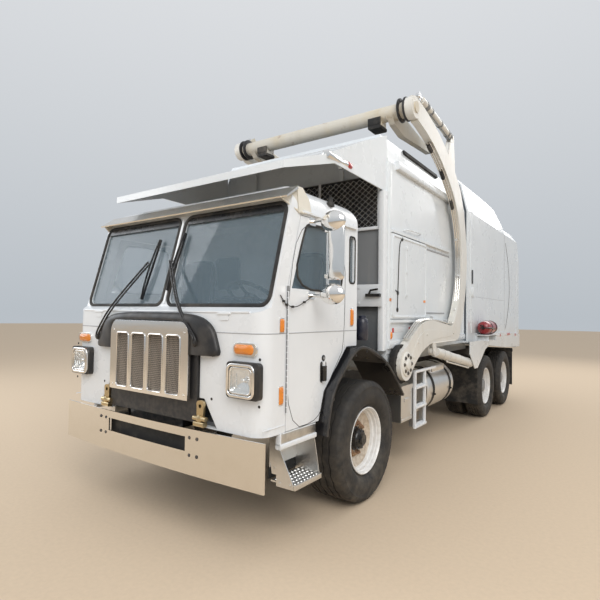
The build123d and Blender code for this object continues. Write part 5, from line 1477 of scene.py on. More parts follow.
@dataclass
class Mirrors(Assembly):
    """Chrome mirrors hung on a bent tube from each door."""

    head: Point = (1.405, 0.615, 2.160)
    tube_x: float = 1.318
    round_size: Point = (0.108, 0.080)

    def arm(self, shape: Shape) -> None:
        """Adds the bent tube, its two brackets on the door and the clamps that hold the head."""
        high, low, s = 2.425, 1.833, 0.648
        path = [at(1.166, s, high - 0.010), at(1.270, s, high), at(self.tube_x, s, high),
                at(self.tube_x, s - 0.010, high - 0.050), at(self.tube_x, s - 0.010, low + 0.050),
                at(self.tube_x, s, low), at(1.270, s, low), at(1.166, s, low + 0.010)]
        shape.tube(softened(path, 3), 0.0125, 12)
        for z in (high - 0.010, low + 0.010):
            shape.plate(rounded_box(0.090, 0.060, 0.014), at(1.164, s, z), *SIDEWAYS, 0.008)
            shape.bolts([at(1.172, s + 0.030, z), at(1.172, s - 0.030, z)], (1, 0, 0), 0.007, 0.005)
        for z in (1.985, 2.330):
            shape.bar(at(self.tube_x - 0.014, s - 0.030, z - 0.016), at(1.375, s + 0.006, z + 0.016), 0.006)
        for z in (2.402, 1.846):
            shape.tube(np.stack((at(self.tube_x, s, z), at(1.395, s - 0.012, z))), 0.007, 8)

    def build(self) -> None:
        """Makes both mirrors."""
        x, s, z = self.head
        for side, sign in SIDES:
            turn = np.diag((sign, 1.0, 1.0))
            shell, faces = Shape(), Shape()
            self.arm(shell)
            loop = rounded_box(0.134, 0.412, 0.026, 6)
            shell.plate(loop, at(x, s + 0.012, z), *FRONTWAYS, 0.016)
            lens(shell, loop, at(x, s - 0.004, z), *FRONTWAYS, 0.014, 7)
            faces.plate(rounded_box(0.122, 0.400, 0.020, 6), at(x, s + 0.017, z), *FRONTWAYS, 0.006)
            oval = circle(1.0, 36) * self.round_size
            for level in (2.395, 1.850):
                lens(shell, oval, at(x - 0.028, s + 0.004, level), *FRONTWAYS, 0.052, 8)
                lens(faces, 0.94 * oval, at(x - 0.028, s + 0.005, level), (-1, 0, 0), (0, 0, 1), 0.012, 5)
            for shape, name, finish in ((shell, "mirror_shell", self.finishes.chrome),
                                        (faces, "mirror_face", self.finishes.mirror)):
                piece = shape.moved(turn).build(f"{side}_{name}", finish, 50, recalc=True)
                fit(piece, f"{side}_door", "chrome_trim", f"{side}_mirror")


@dataclass
class Doors(Assembly):
    """Handles, locks, hinges, seams and window rubbers of the doors."""

    face: float = 1.1655

    def window(self) -> np.ndarray:
        """Returns the door window's outline as (station, z), its corners rounded."""
        return softened([(0.395, 1.885), (0.550, 2.345), (0.600, 2.395), (1.085, 2.395), (1.125, 2.355),
                         (1.125, 1.960), (1.060, 1.885)], 2, True)

    def build(self) -> None:
        """Makes each door's fittings."""
        for side, sign in SIDES:
            turn = np.diag((sign, 1.0, 1.0))
            rubber, black, hinge, seam = Shape(), Shape(), Shape(), Shape()
            edge = self.window()
            path = on_side(self.face + 0.001, edge)
            rubber.sweep(path, rounded_box(0.018, 0.010, 0.004), closed=True, side=(1, 0, 0))
            black.plate(rounded_box(0.088, 0.170, 0.024, 6), at(self.face, 0.832, 1.235), *SIDEWAYS, 0.006)
            black.bar(at(self.face + 0.006, 0.806, 1.165), at(self.face + 0.026, 0.858, 1.285), 0.010)
            black.dome(at(self.face, 0.836, 1.346), ((0.0, 0.026), (0.005, 0.024), (0.007, 0.014)), 24)
            hinge.dome(at(self.face + 0.007, 0.836, 1.346), ((0.0, 0.013), (0.003, 0.012), (0.004, 0.001)),
                       20)
            for z in np.arange(0.99, 1.86, 0.0435):
                hinge.dome(at(1.1735, 0.342, z), ((0.0, 0.0085), (0.0385, 0.0085), (0.040, 0.006)), 12,
                           Axis.Z)
            outline = [(0.347, 0.858), (0.347, 1.872), (0.502, 2.438), (1.172, 2.438), (1.172, 1.425),
                       (1.060, 1.300), (0.905, 1.120), (0.850, 1.070), (0.790, 0.858)]
            loop = softened(outline, 2, True)
            path = on_side(self.face, loop)
            seam.sweep(path, rounded_box(0.005, 0.0018, 0.0005, 2), closed=True, side=(1, 0, 0))
            body = f"{side}_door"
            self.add(rubber.moved(turn), f"{side}_window_rubber", self.finishes.rubber, "black_rubber",
                     body=body, smooth=50, recalc=True)
            self.add(black.moved(turn), f"{side}_door_handle", self.finishes.gloss_black, "black_plastic",
                     body=body, bevel=0.003, recalc=True)
            self.add(hinge.moved(turn), f"{side}_door_hinge", self.finishes.grey, "grey_paint", body=body,
                     recalc=True)
            self.add(seam.moved(turn), f"{side}_door_seam", self.finishes.black, "black_rubber", body=body,
                     recalc=True)


@dataclass
class CabTrim(Assembly):
    """Visor ends, roof fitting, kick plates, fender lips and the wire on the pillar."""

    def visor_ends(self) -> None:
        """Makes the faceted plates that close the visor's ends."""
        loop = np.stack((at(1.120, 0.302, 2.548), at(1.168, 0.440, 2.650), at(1.174, 0.505, 2.648),
                         at(1.186, 0.576, 2.568), at(1.186, 0.611, 2.470), at(1.180, 0.461, 2.452)))
        inner = loop - np.array((0.012, 0.0, 0.0))
        shape = Shape().grid(np.stack((inner, loop)), wrap_v=True, caps=True)
        shape.tube(softened(loop[[0, 5, 4]], 1), 0.006, 8)
        shape.tube(loop[[5, 1]], 0.005, 8)
        self.pair(shape, "visor_ends", self.finishes.cream, "white_paint", smooth=20, recalc=True)

    def wire(self) -> None:
        """Makes the wire from the pillar to the mirror, parted at the door's hinge, and its clips."""
        path = softened([at(1.170, 0.255, 1.830), at(1.176, 0.300, 1.775), at(1.178, 0.342, 1.755),
                         at(1.190, 0.420, 1.745), at(1.185, 0.540, 1.790), at(1.180, 0.640, 1.833)], 3)
        hinge = int(np.argmin(np.abs(path[:, 1] + HALF_LENGTH - 0.342)))
        for side, sign in SIDES:
            for run, body in ((path[:hinge + 1], "chassis"), (path[hinge:], f"{side}_door")):
                shape = Shape().tube(run, 0.0035, 6)
                for k in (len(run) // 4, 3 * len(run) // 4):
                    shape.tube(run[k] + np.array(((-0.010, 0.0, 0.0), (0.008, 0.0, 0.0))), 0.009, 10)
                piece = shape.moved(np.diag((sign, 1.0, 1.0))).build(f"{side}_wire_{body}",
                                                                     self.finishes.rubber, 60, recalc=True)
                fit(piece, body, "black_rubber")

    def fittings(self) -> None:
        """Makes the black stub on the roof's edge and the rubber round the quarter windows."""
        shape = Shape()
        shape.dome(at(1.140, 0.955, 2.600), ((0.0, 0.036), (0.030, 0.034), (0.036, 0.022), (0.072, 0.020),
                                             (0.078, 0.014), (0.080, 0.001)), 20, Axis.Z)
        pane = rounded_box(0.098, 0.412, 0.030, 6) + (1.295, 2.1825)
        path = on_side(1.1665, pane)
        shape.sweep(path, rounded_box(0.016, 0.010, 0.004), closed=True, side=(1, 0, 0))
        self.pair(shape, "cab_fittings", self.finishes.rubber, "black_rubber", smooth=60)

    def sills(self) -> None:
        """Makes the kick plates' ribs, the pressed lines and the fender lips."""
        shape = Shape()
        for z in (0.772, 0.846):
            shape.bar(at(1.164, 0.310, z - 0.003), at(1.171, 0.730, z + 0.003), 0.002)
        shape.bar(at(1.163, 0.085, 0.900), at(1.170, 0.330, 0.908), 0.003)
        self.pair(shape, "cab_sills", self.finishes.white, "white_paint")
        lip = Shape()
        line = softened([(0.782, 0.740), (0.800, 0.845), (0.872, 1.082), (1.050, 1.250), (1.262, 1.405),
                         (1.440, 1.410), (1.900, 1.240), (2.285, 0.865)], 2)
        path = on_side(1.243, line)
        lip.sweep(path, rounded_box(0.026, 0.016, 0.006), side=(1, 0, 0))
        lip.bolts([path[k] + np.array((0.004, 0.0, -0.03)) for k in range(2, len(path), 4)], (1, 0, 0), 0.009,
                  0.006)
        self.pair(lip, "fender_lips", self.finishes.plastic, "black_plastic", smooth=50)

    def build(self) -> None:
        """Makes all of the cab's trim."""
        self.visor_ends()
        self.wire()
        self.fittings()
        self.sills()


@dataclass
class Steps(Assembly):
    """Cab steps, one tread between sloping end plates under a ribbed sill, and the ladders by the tanks."""

    front: float = 0.388
    back: float = 0.724
    low: float = 0.432

    def tread(self) -> None:
        """Makes the punched tread, its rolled lip, both end plates and the back panel."""
        shape = Shape()
        near = [(0.985, 0.845), (1.010, 0.845), (1.060, 0.742), (1.196, 0.490), (1.221, self.low),
                (1.055, self.low), (1.054, 0.515), (1.012, 0.515), (0.990, 0.640)]
        far = [(0.985, 0.845), (1.160, 0.845), (1.160, 0.742), (1.208, 0.480), (1.221, self.low),
               (0.985, self.low)]
        for outline, s in ((near, self.front), (far, self.back)):
            shape.plate(np.array(outline)[::-1], at(0, s + 0.008, 0), *FRONTWAYS, 0.008)
        shape.bar(at(1.000, self.front + 0.004, 0.456), at(1.222, self.back + 0.004, 0.468), 0.003)
        shape.bar(at(1.214, self.front, self.low), at(1.228, self.back + 0.008, 0.474), 0.005)
        shape.bar(at(0.984, self.front + 0.004, 0.556), at(0.992, self.back + 0.004, 0.850), 0.002)
        holes = [(x, s) for x in np.arange(1.024, 1.205, 0.044)
                 for s in np.arange(self.front + 0.034, self.back - 0.01, 0.040)]
        for x, s in holes:
            shape.lathe(at(x, s, 0.468), [(0.0, 0.016), (0.005, 0.013), (0.005, 0.009), (-0.001, 0.008)], 14,
                        Axis.Z)
        shape.bolts([at(x, self.front, z) for x, z in ((1.085, 0.460), (1.175, 0.460), (1.030, 0.560))],
                    (0, -1, 0), 0.009, 0.006)
        self.pair(shape, "step_treads", self.finishes.aluminium, "plain_aluminium", "cab_steps", recalc=True)
        # Dark discs in the punched holes and a dark strip in the gap under the back panel: painted shade of
        # these openings.
        dark = Shape()
        for x, s in holes:
            dark.dome(at(x, s, 0.4682), ((0.0, 0.0085), (0.0008, 0.008), (0.001, 0.001)), 12, Axis.Z)
        dark.bar(at(0.974, self.front + 0.004, 0.470), at(0.984, self.back + 0.004, 0.556), 0.002)
        self.pair(dark, "step_hole_shade", self.finishes.rubber, "black_rubber", "cab_steps")

    def sill(self) -> None:
        """Makes the tread-plate sill under the door and its folded white edge."""
        plate = Shape().bar(at(1.140, 0.292, 0.772), at(1.1675, 0.732, 0.852), 0.003)
        self.pair(plate, "step_sills", self.finishes.plate, "plain_aluminium", "cab_steps")
        edge = Shape().bar(at(1.130, 0.276, 0.738), at(1.176, 0.736, 0.774), 0.006)
        edge.bar(at(1.130, 0.276, 0.770), at(1.172, 0.292, 0.852), 0.004)
        self.pair(edge, "step_edges", self.finishes.white, "white_paint", "cab_steps")

    def ladder(self) -> None:
        """Makes the square-barred ladder hung from the tank's front."""
        shape = Shape()
        for s in (2.675, 2.975):
            shape.bar(at(1.196, s, 0.430), at(1.226, s + 0.030, 1.075), 0.005)
        for z in (0.435, 0.650, 0.870):
            shape.bar(at(1.186, 2.690, z), at(1.240, 2.990, z + 0.026), 0.005)
            for s in np.arange(2.715, 2.975, 0.040):
                shape.bar(at(1.190, s, z + 0.024), at(1.236, s + 0.012, z + 0.031), 0.002)
        shape.bar(at(1.194, 2.690, 1.048), at(1.228, 3.330, 1.078), 0.005)
        shape.bar(at(1.080, 2.690, 1.050), at(1.200, 2.720, 1.074), 0.005)
        self.pair(shape, "side_ladders", self.finishes.white, "white_paint")

    def build(self) -> None:
        """Makes both sides' steps and ladders."""
        self.tread()
        self.sill()
        self.ladder()


@dataclass
class Arms(Assembly):
    """Hard lines, clips, hub faces and braces on the lifting arms."""

    pivot: Point = (2.250, 1.190)

    def top_edge(self, drop: float, start: float = 0.0, end: float = 1.0) -> np.ndarray:
        """Line along the gooseneck's top and the upright's front edge.

        Args:
            drop: Distance the line stands off the edge.
            start: Fraction of its length where it starts.
            end: Fraction of its length where it ends.

        Returns:
            Points (station, z).
        """
        line = softened([(2.225, 1.358), (2.330, 1.440), (2.500, 1.525), (2.640, 1.610), (2.820, 1.632),
                         (3.150, 1.632), (3.790, 1.560), (3.960, 1.640), (4.090, 1.900), (4.165, 2.330),
                         (4.090, 2.850), (3.830, 3.270), (3.280, 3.625), (2.780, 3.790)], 3)
        tangent = unit(np.gradient(line, axis=0))
        away = np.stack((-tangent[:, 1], tangent[:, 0]), axis=-1)
        even = resampled(line + drop * away, 160)
        return even[int(start * 159):int(end * 159) + 1]

    def lines(self) -> None:
        """Makes the silver pipes and the clips that hold them."""
        pipe, clip, black = Shape(), Shape(), Shape()
        for x, drop, radius in ((1.232, 0.022, 0.010), (1.256, 0.022, 0.010), (1.280, 0.020, 0.008)):
            edge = self.top_edge(drop, 0.03, 0.97)
            pipe.tube(on_side(x, edge), radius, 8)
        edge = self.top_edge(0.018)
        tangent = unit(np.gradient(edge, axis=0))
        for k in range(32, 152, 17):
            s, z = edge[k]
            ds, dz = tangent[k]
            pad = black if z > 3.0 else clip
            size = (0.092, 0.110, 0.012, 3) if z > 3.0 else (0.086, 0.026, 0.008, 3)
            pad.sweep(np.stack([at(1.258, s + 0.5 * k * size[1] * ds,
                                   z + 0.5 * k * size[1] * dz) for k in (-1, 1)]), rounded_box(size[0], 0.036,
                                                                                               size[2],
                                                                                               size[3]),
                      side=(1, 0, 0))
            pad.bolts([at(1.244, s - 0.015 * dz, z + 0.015 * ds)], (0, -dz, ds), 0.007, 0.006)
        self.pair(pipe, "arm_pipes", self.finishes.steel, "chrome_trim", body="arms", smooth=60, recalc=True)
        self.pair(clip, "arm_clips", self.finishes.aluminium, "chrome_trim", body="arms", recalc=True)
        self.pair(black, "arm_pads", self.finishes.rubber, "black_rubber", body="arms", recalc=True)

    def hubs(self) -> None:
        """Makes the bolted discs at the arms' feet and heads."""
        s, z = self.pivot
        disc, ring = Shape(), Shape()
        disc.dome(at(1.294, s, z), ((0.0, 0.128), (0.010, 0.126), (0.014, 0.118), (0.014, 0.060),
                                    (0.026, 0.056), (0.030, 0.048), (0.030, 0.001)), 40)
        studs = Shape().bolts(on_side(1.308, circle(0.092, 8) + (s, z)), (1, 0, 0), 0.014, 0.012)
        self.pair(studs, "arm_hub_studs", self.finishes.iron, "chassis_black", body="arms", recalc=True)
        self.pair(disc, "arm_hub_faces", self.finishes.arm_white, "arm_white", body="arms", recalc=True)
        loop = [(-0.030, 0.170), (-0.026, 0.196), (0.010, 0.204), (0.038, 0.204), (0.044, 0.198),
                (0.046, 0.170)]
        ring.lathe(at(1.203, s, z), loop, 56)
        ring.bolts(on_side(1.249, circle(0.187, 14) + (s, z)), (1, 0, 0), 0.010, 0.008)
        self.pair(ring, "arm_hub_rings", self.finishes.rubber, "black_rubber", body="arms", recalc=True)

    def plates(self) -> None:
        """Makes the weld-on side plates, the seam along the neck and the pivot box's rim."""
        shape = Shape()
        flat = softened([(2.300, 1.150), (2.420, 1.330), (2.620, 1.500), (2.860, 1.545), (3.700, 1.500),
                         (3.900, 1.440), (3.000, 1.420), (2.740, 1.360), (2.500, 1.200), (2.380, 1.120)], 2,
                        True)
        shape.plate(flat, at(1.2955, 0.0, 0.0), *SIDEWAYS, 0.005)
        shape.bar(at(1.214, 3.080, 1.368), at(1.300, 3.900, 1.380), 0.004)
        shape.bolts([at(1.3005, s, z) for s, z in ((2.420, 1.250), (2.560, 1.400), (2.820, 1.480),
                                                   (3.800, 1.470))], (1, 0, 0), 0.012, 0.008)
        self.pair(shape, "arm_plates", self.finishes.arm_white, "arm_white", body="arms", bevel=0.002,
                  recalc=True)

    def build(self) -> None:
        """Makes all of the arms' parts."""
        self.lines()
        self.hubs()
        self.plates()


@dataclass
class Forks(Assembly):
    """Bolted rings, pads and hard stops on the fork tube."""

    pivot: Point = (2.450, 3.970)

    def build(self) -> None:
        """Makes the rings, their bolts, the pads and the weld beads."""
        s, z = self.pivot
        ring, bolts, pads, beads = Shape(), Shape(), Shape(), Shape()
        for x in (1.124, 1.192):
            loop = [(-0.008, 0.086), (-0.008, 0.129), (-0.006, 0.132), (0.006, 0.132), (0.008, 0.129),
                    (0.008, 0.086)]
            ring.lathe(at(x, s, z), loop, 48)
        for x in (1.130, 1.198):
            bolts.bolts(on_side(x, circle(0.106, 12) + (s, z)), (1, 0, 0), 0.010, 0.009)
        pads.bar(at(0.752, 2.372, 3.808), at(0.908, 2.548, 3.850), 0.012)
        pads.bar(at(0.752, 2.368, 3.850), at(0.908, 2.384, 3.935), 0.006)
        for x in (0.972, 1.058):
            beads.tube(arc_path(x, s, z, 0.089, -150, 20), 0.006, 6)
        self.pair(ring, "fork_rings", self.finishes.black, "chassis_black", body="forks", recalc=True)
        self.pair(bolts, "fork_bolts", self.finishes.iron, "chassis_black", body="forks", recalc=True)
        self.pair(pads, "fork_pads", self.finishes.flap, "black_rubber", body="forks", recalc=True)
        self.pair(beads, "fork_welds", self.finishes.fork_cream, "fork_cream", body="forks", smooth=60,
                  recalc=True)


def arc_path(x: float, station: float, z: float, radius: float, start: float, end: float) -> np.ndarray:
    """Returns an arc square to X about a station and height, from start to end in degrees."""
    return on_side(x, arc_points((station, z), radius, start, end, 20))


@dataclass
class Cylinders(Assembly):
    """Gland nuts, ports and pipes of the lift and fork cylinders."""

    lift_eye: Point = (3.100, 1.275)
    lift_anchor: Point = (4.750, 1.000)
    fork_crank: Point = (2.604, 4.154)
    fork_anchor: Point = (3.750, 4.050)
    plane: float = 1.262

    def along(self, x: float, start: Point, end: Point, share: float, out: float) -> np.ndarray:
        """Returns the point a share of the way from start to end, moved out square to that line."""
        a, b = np.asarray(start), np.asarray(end)
        line = unit(b - a)
        spot = a + share * (b - a) + out * np.array((-line[1], line[0]))
        return at(x, spot[0], spot[1])

    def build(self) -> None:
        """Makes the pipes and ports, which ride the barrels."""
        across = np.array((1.0, 0.0, 0.0))
        for name, start, end, radius, finish in (
                ("lift", self.lift_eye, self.lift_anchor, 0.062, self.finishes.arm_white),
                ("fork", self.fork_crank, self.fork_anchor, 0.044, self.finishes.grey)):
            pipe, band = Shape(), Shape()
            out = -(radius + 0.018)
            spots = [(0.30, -radius), (0.30, out), (0.34, out), (0.86, out), (0.90, out), (0.90, -radius)]
            path = np.stack([self.along(self.plane + 0.02, start, end, share, off) for share, off in spots])
            pipe.tube(softened(path, 2), radius * 0.16, 8)
            axis = unit(at(self.plane, *end) - at(self.plane, *start))
            upward = np.cross(axis, across)
            for share, wide in ((0.205, 0.034), (0.33, 0.016), (0.62, 0.016), (0.87, 0.020), (0.945, 0.026)):
                origin = self.along(self.plane, start, end, share, 0.0)
                turn = circle(radius + 0.003, 32)
                ring = turn[:, :1] * across + turn[:, 1:] * upward
                rows = np.stack([origin + ring * k + axis * d for k, d in (
                    (0.95, -wide), (1.0, -wide), (1.03, 0.0), (1.0, wide), (0.95, wide))])
                band.grid(rows, wrap_v=True)
            body = f"{name}_barrels"
            self.pair(pipe, f"{name}_cylinder_pipes", finish, "arm_white", body=body, smooth=60, recalc=True)
            self.pair(band, f"{name}_cylinder_bands", finish, "arm_white", body=body, recalc=True)


@dataclass
class Guard(Assembly):
    """Expanded metal, posts, beam latch, filter and hoses behind the cab."""

    low: float = 2.612
    high: float = 3.140
    half: float = 1.085

    def strands(self) -> None:
        """Makes expanded metal: strand k at z0 + p (k + tri(x / w) / 2), its teeth meeting the next's."""
        pitch, wide = 0.030, 0.072
        shape = Shape()
        x = np.arange(-self.half, self.half, wide / 2)
        tooth = 0.5 * pitch * np.where(np.arange(len(x)) % 2, 1.0, -1.0)
        for k in range(int((self.high - self.low) / pitch)):
            z = self.low + pitch * (k + 0.5) + tooth * (1 if k % 2 else -1)
            path = np.column_stack((x, np.full(len(x), 1.986 - HALF_LENGTH + 0.004 * (k % 2)), z))
            shape.sweep(path, rounded_box(0.005, 0.003, 0.001, 2), side=(0, 1, 0))
        self.add(shape, "guard_mesh", self.finishes.aluminium, "grey_paint", smooth=20)
        # Gloss black sheet behind the expanded metal: painted shade standing in for the shaded hopper
        # interior seen through it.
        dark = Shape().bar(at(-self.half, 1.9935, self.low), at(self.half, 1.9985, self.high), 0.001)
        self.add(dark, "guard_painted_shade", self.finishes.gloss_black, "black_panel")

    def build(self) -> None:
        """Makes everything behind the cab."""
        self.strands()
        frame_bars, black, hoses = Shape(), Shape(), Shape()
        frame_bars.bar(at(-1.095, 1.972, 2.577), at(1.095, 2.0, 2.611), 0.004)
        for x in (-0.40, 0.35, 1.075):
            frame_bars.bar(at(x, 1.974, 2.611), at(x + 0.022, 1.994, 3.150), 0.003)
        frame_bars.bar(at(1.098, 1.955, 1.335), at(1.160, 2.049, 2.965), 0.008)
        frame_bars.bar(at(-1.160, 1.955, 1.335), at(-1.098, 2.049, 2.965), 0.008)
        frame_bars.bar(at(-1.160, 1.922, 1.782), at(1.160, 1.931, 2.008), 0.003)
        for x in np.arange(-0.9, 1.0, 0.45):
            frame_bars.bolts([at(x, 1.922, z) for z in (1.815, 1.975)], (0, -1, 0), 0.012, 0.008)
        self.add(frame_bars, "guard_frame", self.finishes.white, "white_paint", recalc=True)
        black.bar(at(0.991, 1.885, 1.880), at(1.150, 1.921, 1.912), 0.008)
        black.tube(np.stack((at(1.02, 1.905, 1.902), at(1.05, 1.885, 1.945), at(1.13, 1.885, 1.955))), 0.011,
                   8)
        for x in (-0.30, 0.15, 0.60):
            black.bar(at(x, 1.978, 1.345), at(x + 0.030, 1.990, 1.775), 0.004)
        black.lathe(at(0.62, 1.60, 1.40), [(0.0, 0.02), (0.0, 0.095), (0.02, 0.105), (0.26, 0.105),
                                           (0.28, 0.09), (0.28, 0.02)], 32, Axis.Z)
        low = Shape().bar(at(-1.098, 1.990, 1.340), at(1.098, 1.9985, 1.778), 0.002)
        self.add(low, "guard_apron", self.finishes.trim, "grey_paint")
        self.add(black, "guard_latches", self.finishes.gloss_black, "black_plastic", recalc=True)
        for k, x in enumerate((0.20, 0.30, 0.40, 0.50, 0.60)):
            path = softened([at(x, 1.990, 1.34 + 0.10 * k), at(x, 1.900, 1.36 + 0.10 * k), at(x, 1.870, 1.28),
                             at(x, 1.880, 1.06)], 3)
            hoses.tube(path, 0.016, 10)
        self.add(hoses, "guard_hoses", self.finishes.rubber, "black_rubber", smooth=60)
        blue = Shape().dome(at(1.092, 1.640, 1.455), ((0.0, 0.050), (0.01, 0.056), (0.17, 0.056),
                                                      (0.20, 0.048), (0.21, 0.038), (0.235, 0.036),
                                                      (0.240, 0.001)), 28, Axis.Z)
        self.add(blue, "oil_filter", self.finishes.blue, "black_panel")
        self.valve()

    def valve(self) -> None:
        """Makes the chrome valve under the canopy's edge, its red cap and its two clamps."""
        body, cap = Shape(), Shape()
        body.dome(at(1.120, 0.900, 3.035), ((0.0, 0.020), (0.006, 0.038), (0.200, 0.038), (0.215, 0.030),
                                            (0.350, 0.030), (0.352, 0.001)), 28, Axis.Y)
        for s in (0.960, 1.180):
            body.bar(at(1.080, s, 2.985), at(1.130, s + 0.024, 3.010), 0.004)
        cap.dome(at(1.120, 1.252, 3.035), ((0.0, 0.036), (0.050, 0.036), (0.072, 0.024), (0.078, 0.001)), 28,
                 Axis.Y)
        self.add(body, "canopy_valve", self.finishes.chrome, "chrome_trim")
        self.add(cap, "canopy_valve_cap", self.finishes.red_lens, "red_lens")


@dataclass
class HopperSides(Assembly):
    """Rubber strip, rib, ledges, reflectors, handles and the sliding door's latch rods."""

    half: float = 1.160

    def reflector_row(self, shape: Shape, x: float, z: float, low: float, high: float) -> None:
        """Adds strips of tape, 0.30 long and 0.15 apart, between two stations."""
        for s in np.arange(low, high - 0.30, 0.45):
            shape.bar(at(x - 0.001, s, z - 0.025), at(x + 0.0012, s + 0.30, z + 0.025), 0.0008)

    def build(self) -> None:
        """Makes both sides and the left side's door parts."""
        white, black, tape, amber = Shape(), Shape(), Shape(), Shape()
        slope = unit(np.array((-0.100, 0.0, 0.300)))
        origin = at(self.half, 3.185, 3.290) + 0.285 * slope
        black.plate(rounded_box(1.130, 0.052, 0.012), origin, (0, 1, 0), slope, 0.022)
        white.bar(at(self.half - 0.010, 2.230, 3.245), at(self.half + 0.044, 4.060, 3.332), 0.016)
        white.bar(at(self.half - 0.02, 2.055, 1.352), at(self.half + 0.026, 4.740, 1.434), 0.010)
        white.bar(at(self.half - 0.02, 2.055, 2.960), at(self.half + 0.006, 2.105, 3.290), 0.004)
        for s in (2.062, 4.690):
            white.bar(at(self.half - 0.01, s, 1.434), at(self.half + 0.012, s + 0.050, 3.280), 0.006)
        rails = Shape().bar(at(self.half - 0.006, 3.11, 2.500), at(self.half + 0.0055, 4.03, 2.520), 0.001)
        rails.bar(at(self.half - 0.006, 3.11, 1.720), at(self.half + 0.0055, 3.83, 1.738), 0.001)
        self.pair(rails, "side_door_rails", self.finishes.seam, "white_paint", recalc=True)
        white.tube(softened([at(self.half, 2.445, 2.622), at(self.half + 0.035, 2.470, 2.640),
                             at(self.half + 0.035, 2.900, 2.654), at(self.half, 2.925, 2.650)], 2), 0.008, 8)
        white.bolts([at(self.half + 0.026, s, 1.392) for s in np.arange(2.20, 4.7, 0.40)], (1, 0, 0), 0.011,
                    0.007)
        self.reflector_row(tape, self.half, 1.538, 2.17, 3.10)
        amber.plate(rounded_box(0.075, 0.030, 0.006), at(self.half + 0.012, 2.111, 1.856), *SIDEWAYS, 0.006)
        lens(amber, rounded_box(0.050, 0.080, 0.022, 6), at(self.half + 0.001, 2.140, 1.486), *SIDEWAYS,
             0.018)
        self.pair(white, "hopper_trim", self.finishes.body_white, "white_paint", recalc=True)
        self.pair(black, "hopper_strips", self.finishes.rubber, "black_rubber", recalc=True)
        self.pair(tape, "hopper_tape", self.finishes.tape, "red_lens", recalc=True)
        self.pair(amber, "hopper_markers", self.finishes.amber, "amber_lens", smooth=40, recalc=True)
        self.door()

    def door(self) -> None:
        """Makes the sliding door's folded edges, rod, knobs and small reflector."""
        face, panel, rod = 1.184, Shape(), Shape()
        loop = rounded_box(0.955, 0.850, 0.040, 5) + (2.600, 2.105)
        path = on_side(face + 0.002, loop)
        panel.sweep(path, rounded_box(0.022, 0.012, 0.004), closed=True, side=(1, 0, 0))
        panel.bar(at(face - 0.002, 2.462, 1.880), at(face + 0.010, 2.490, 2.470), 0.004)
        for z in (1.92, 2.17, 2.43):
            panel.bar(at(face, 2.455, z - 0.020), at(face + 0.014, 2.497, z + 0.020), 0.004)
        rod.tube(softened([at(face + 0.003, 2.360, 2.515), at(face + 0.003, 2.285, 2.470),
                           at(face + 0.003, 2.262, 2.100), at(face + 0.003, 2.240, 1.750)], 2), 0.0055, 8)
        for s, z in ((2.360, 2.520), (2.254, 1.933), (2.246, 1.755)):
            rod.dome(at(face, s, z), ((0.0, 0.026), (0.004, 0.026), (0.008, 0.018), (0.0085, 0.001)), 20)
        rod.tube(np.stack((at(face + 0.004, 2.254, 1.933), at(face + 0.004, 2.19, 1.960))), 0.0045, 8)
        self.add(panel, "side_door_edges", self.finishes.body_white, "white_paint", body="hopper_door",
                 smooth=50, recalc=True)
        self.add(rod, "side_door_latch", self.finishes.gloss_black, "black_plastic", body="hopper_door",
                 smooth=50, recalc=True)
        amber = Shape().plate(rounded_box(0.075, 0.028, 0.006), at(face, 3.045, 1.864), *SIDEWAYS, 0.005)
        self.add(amber, "side_door_reflector", self.finishes.amber, "amber_lens", body="hopper_door")


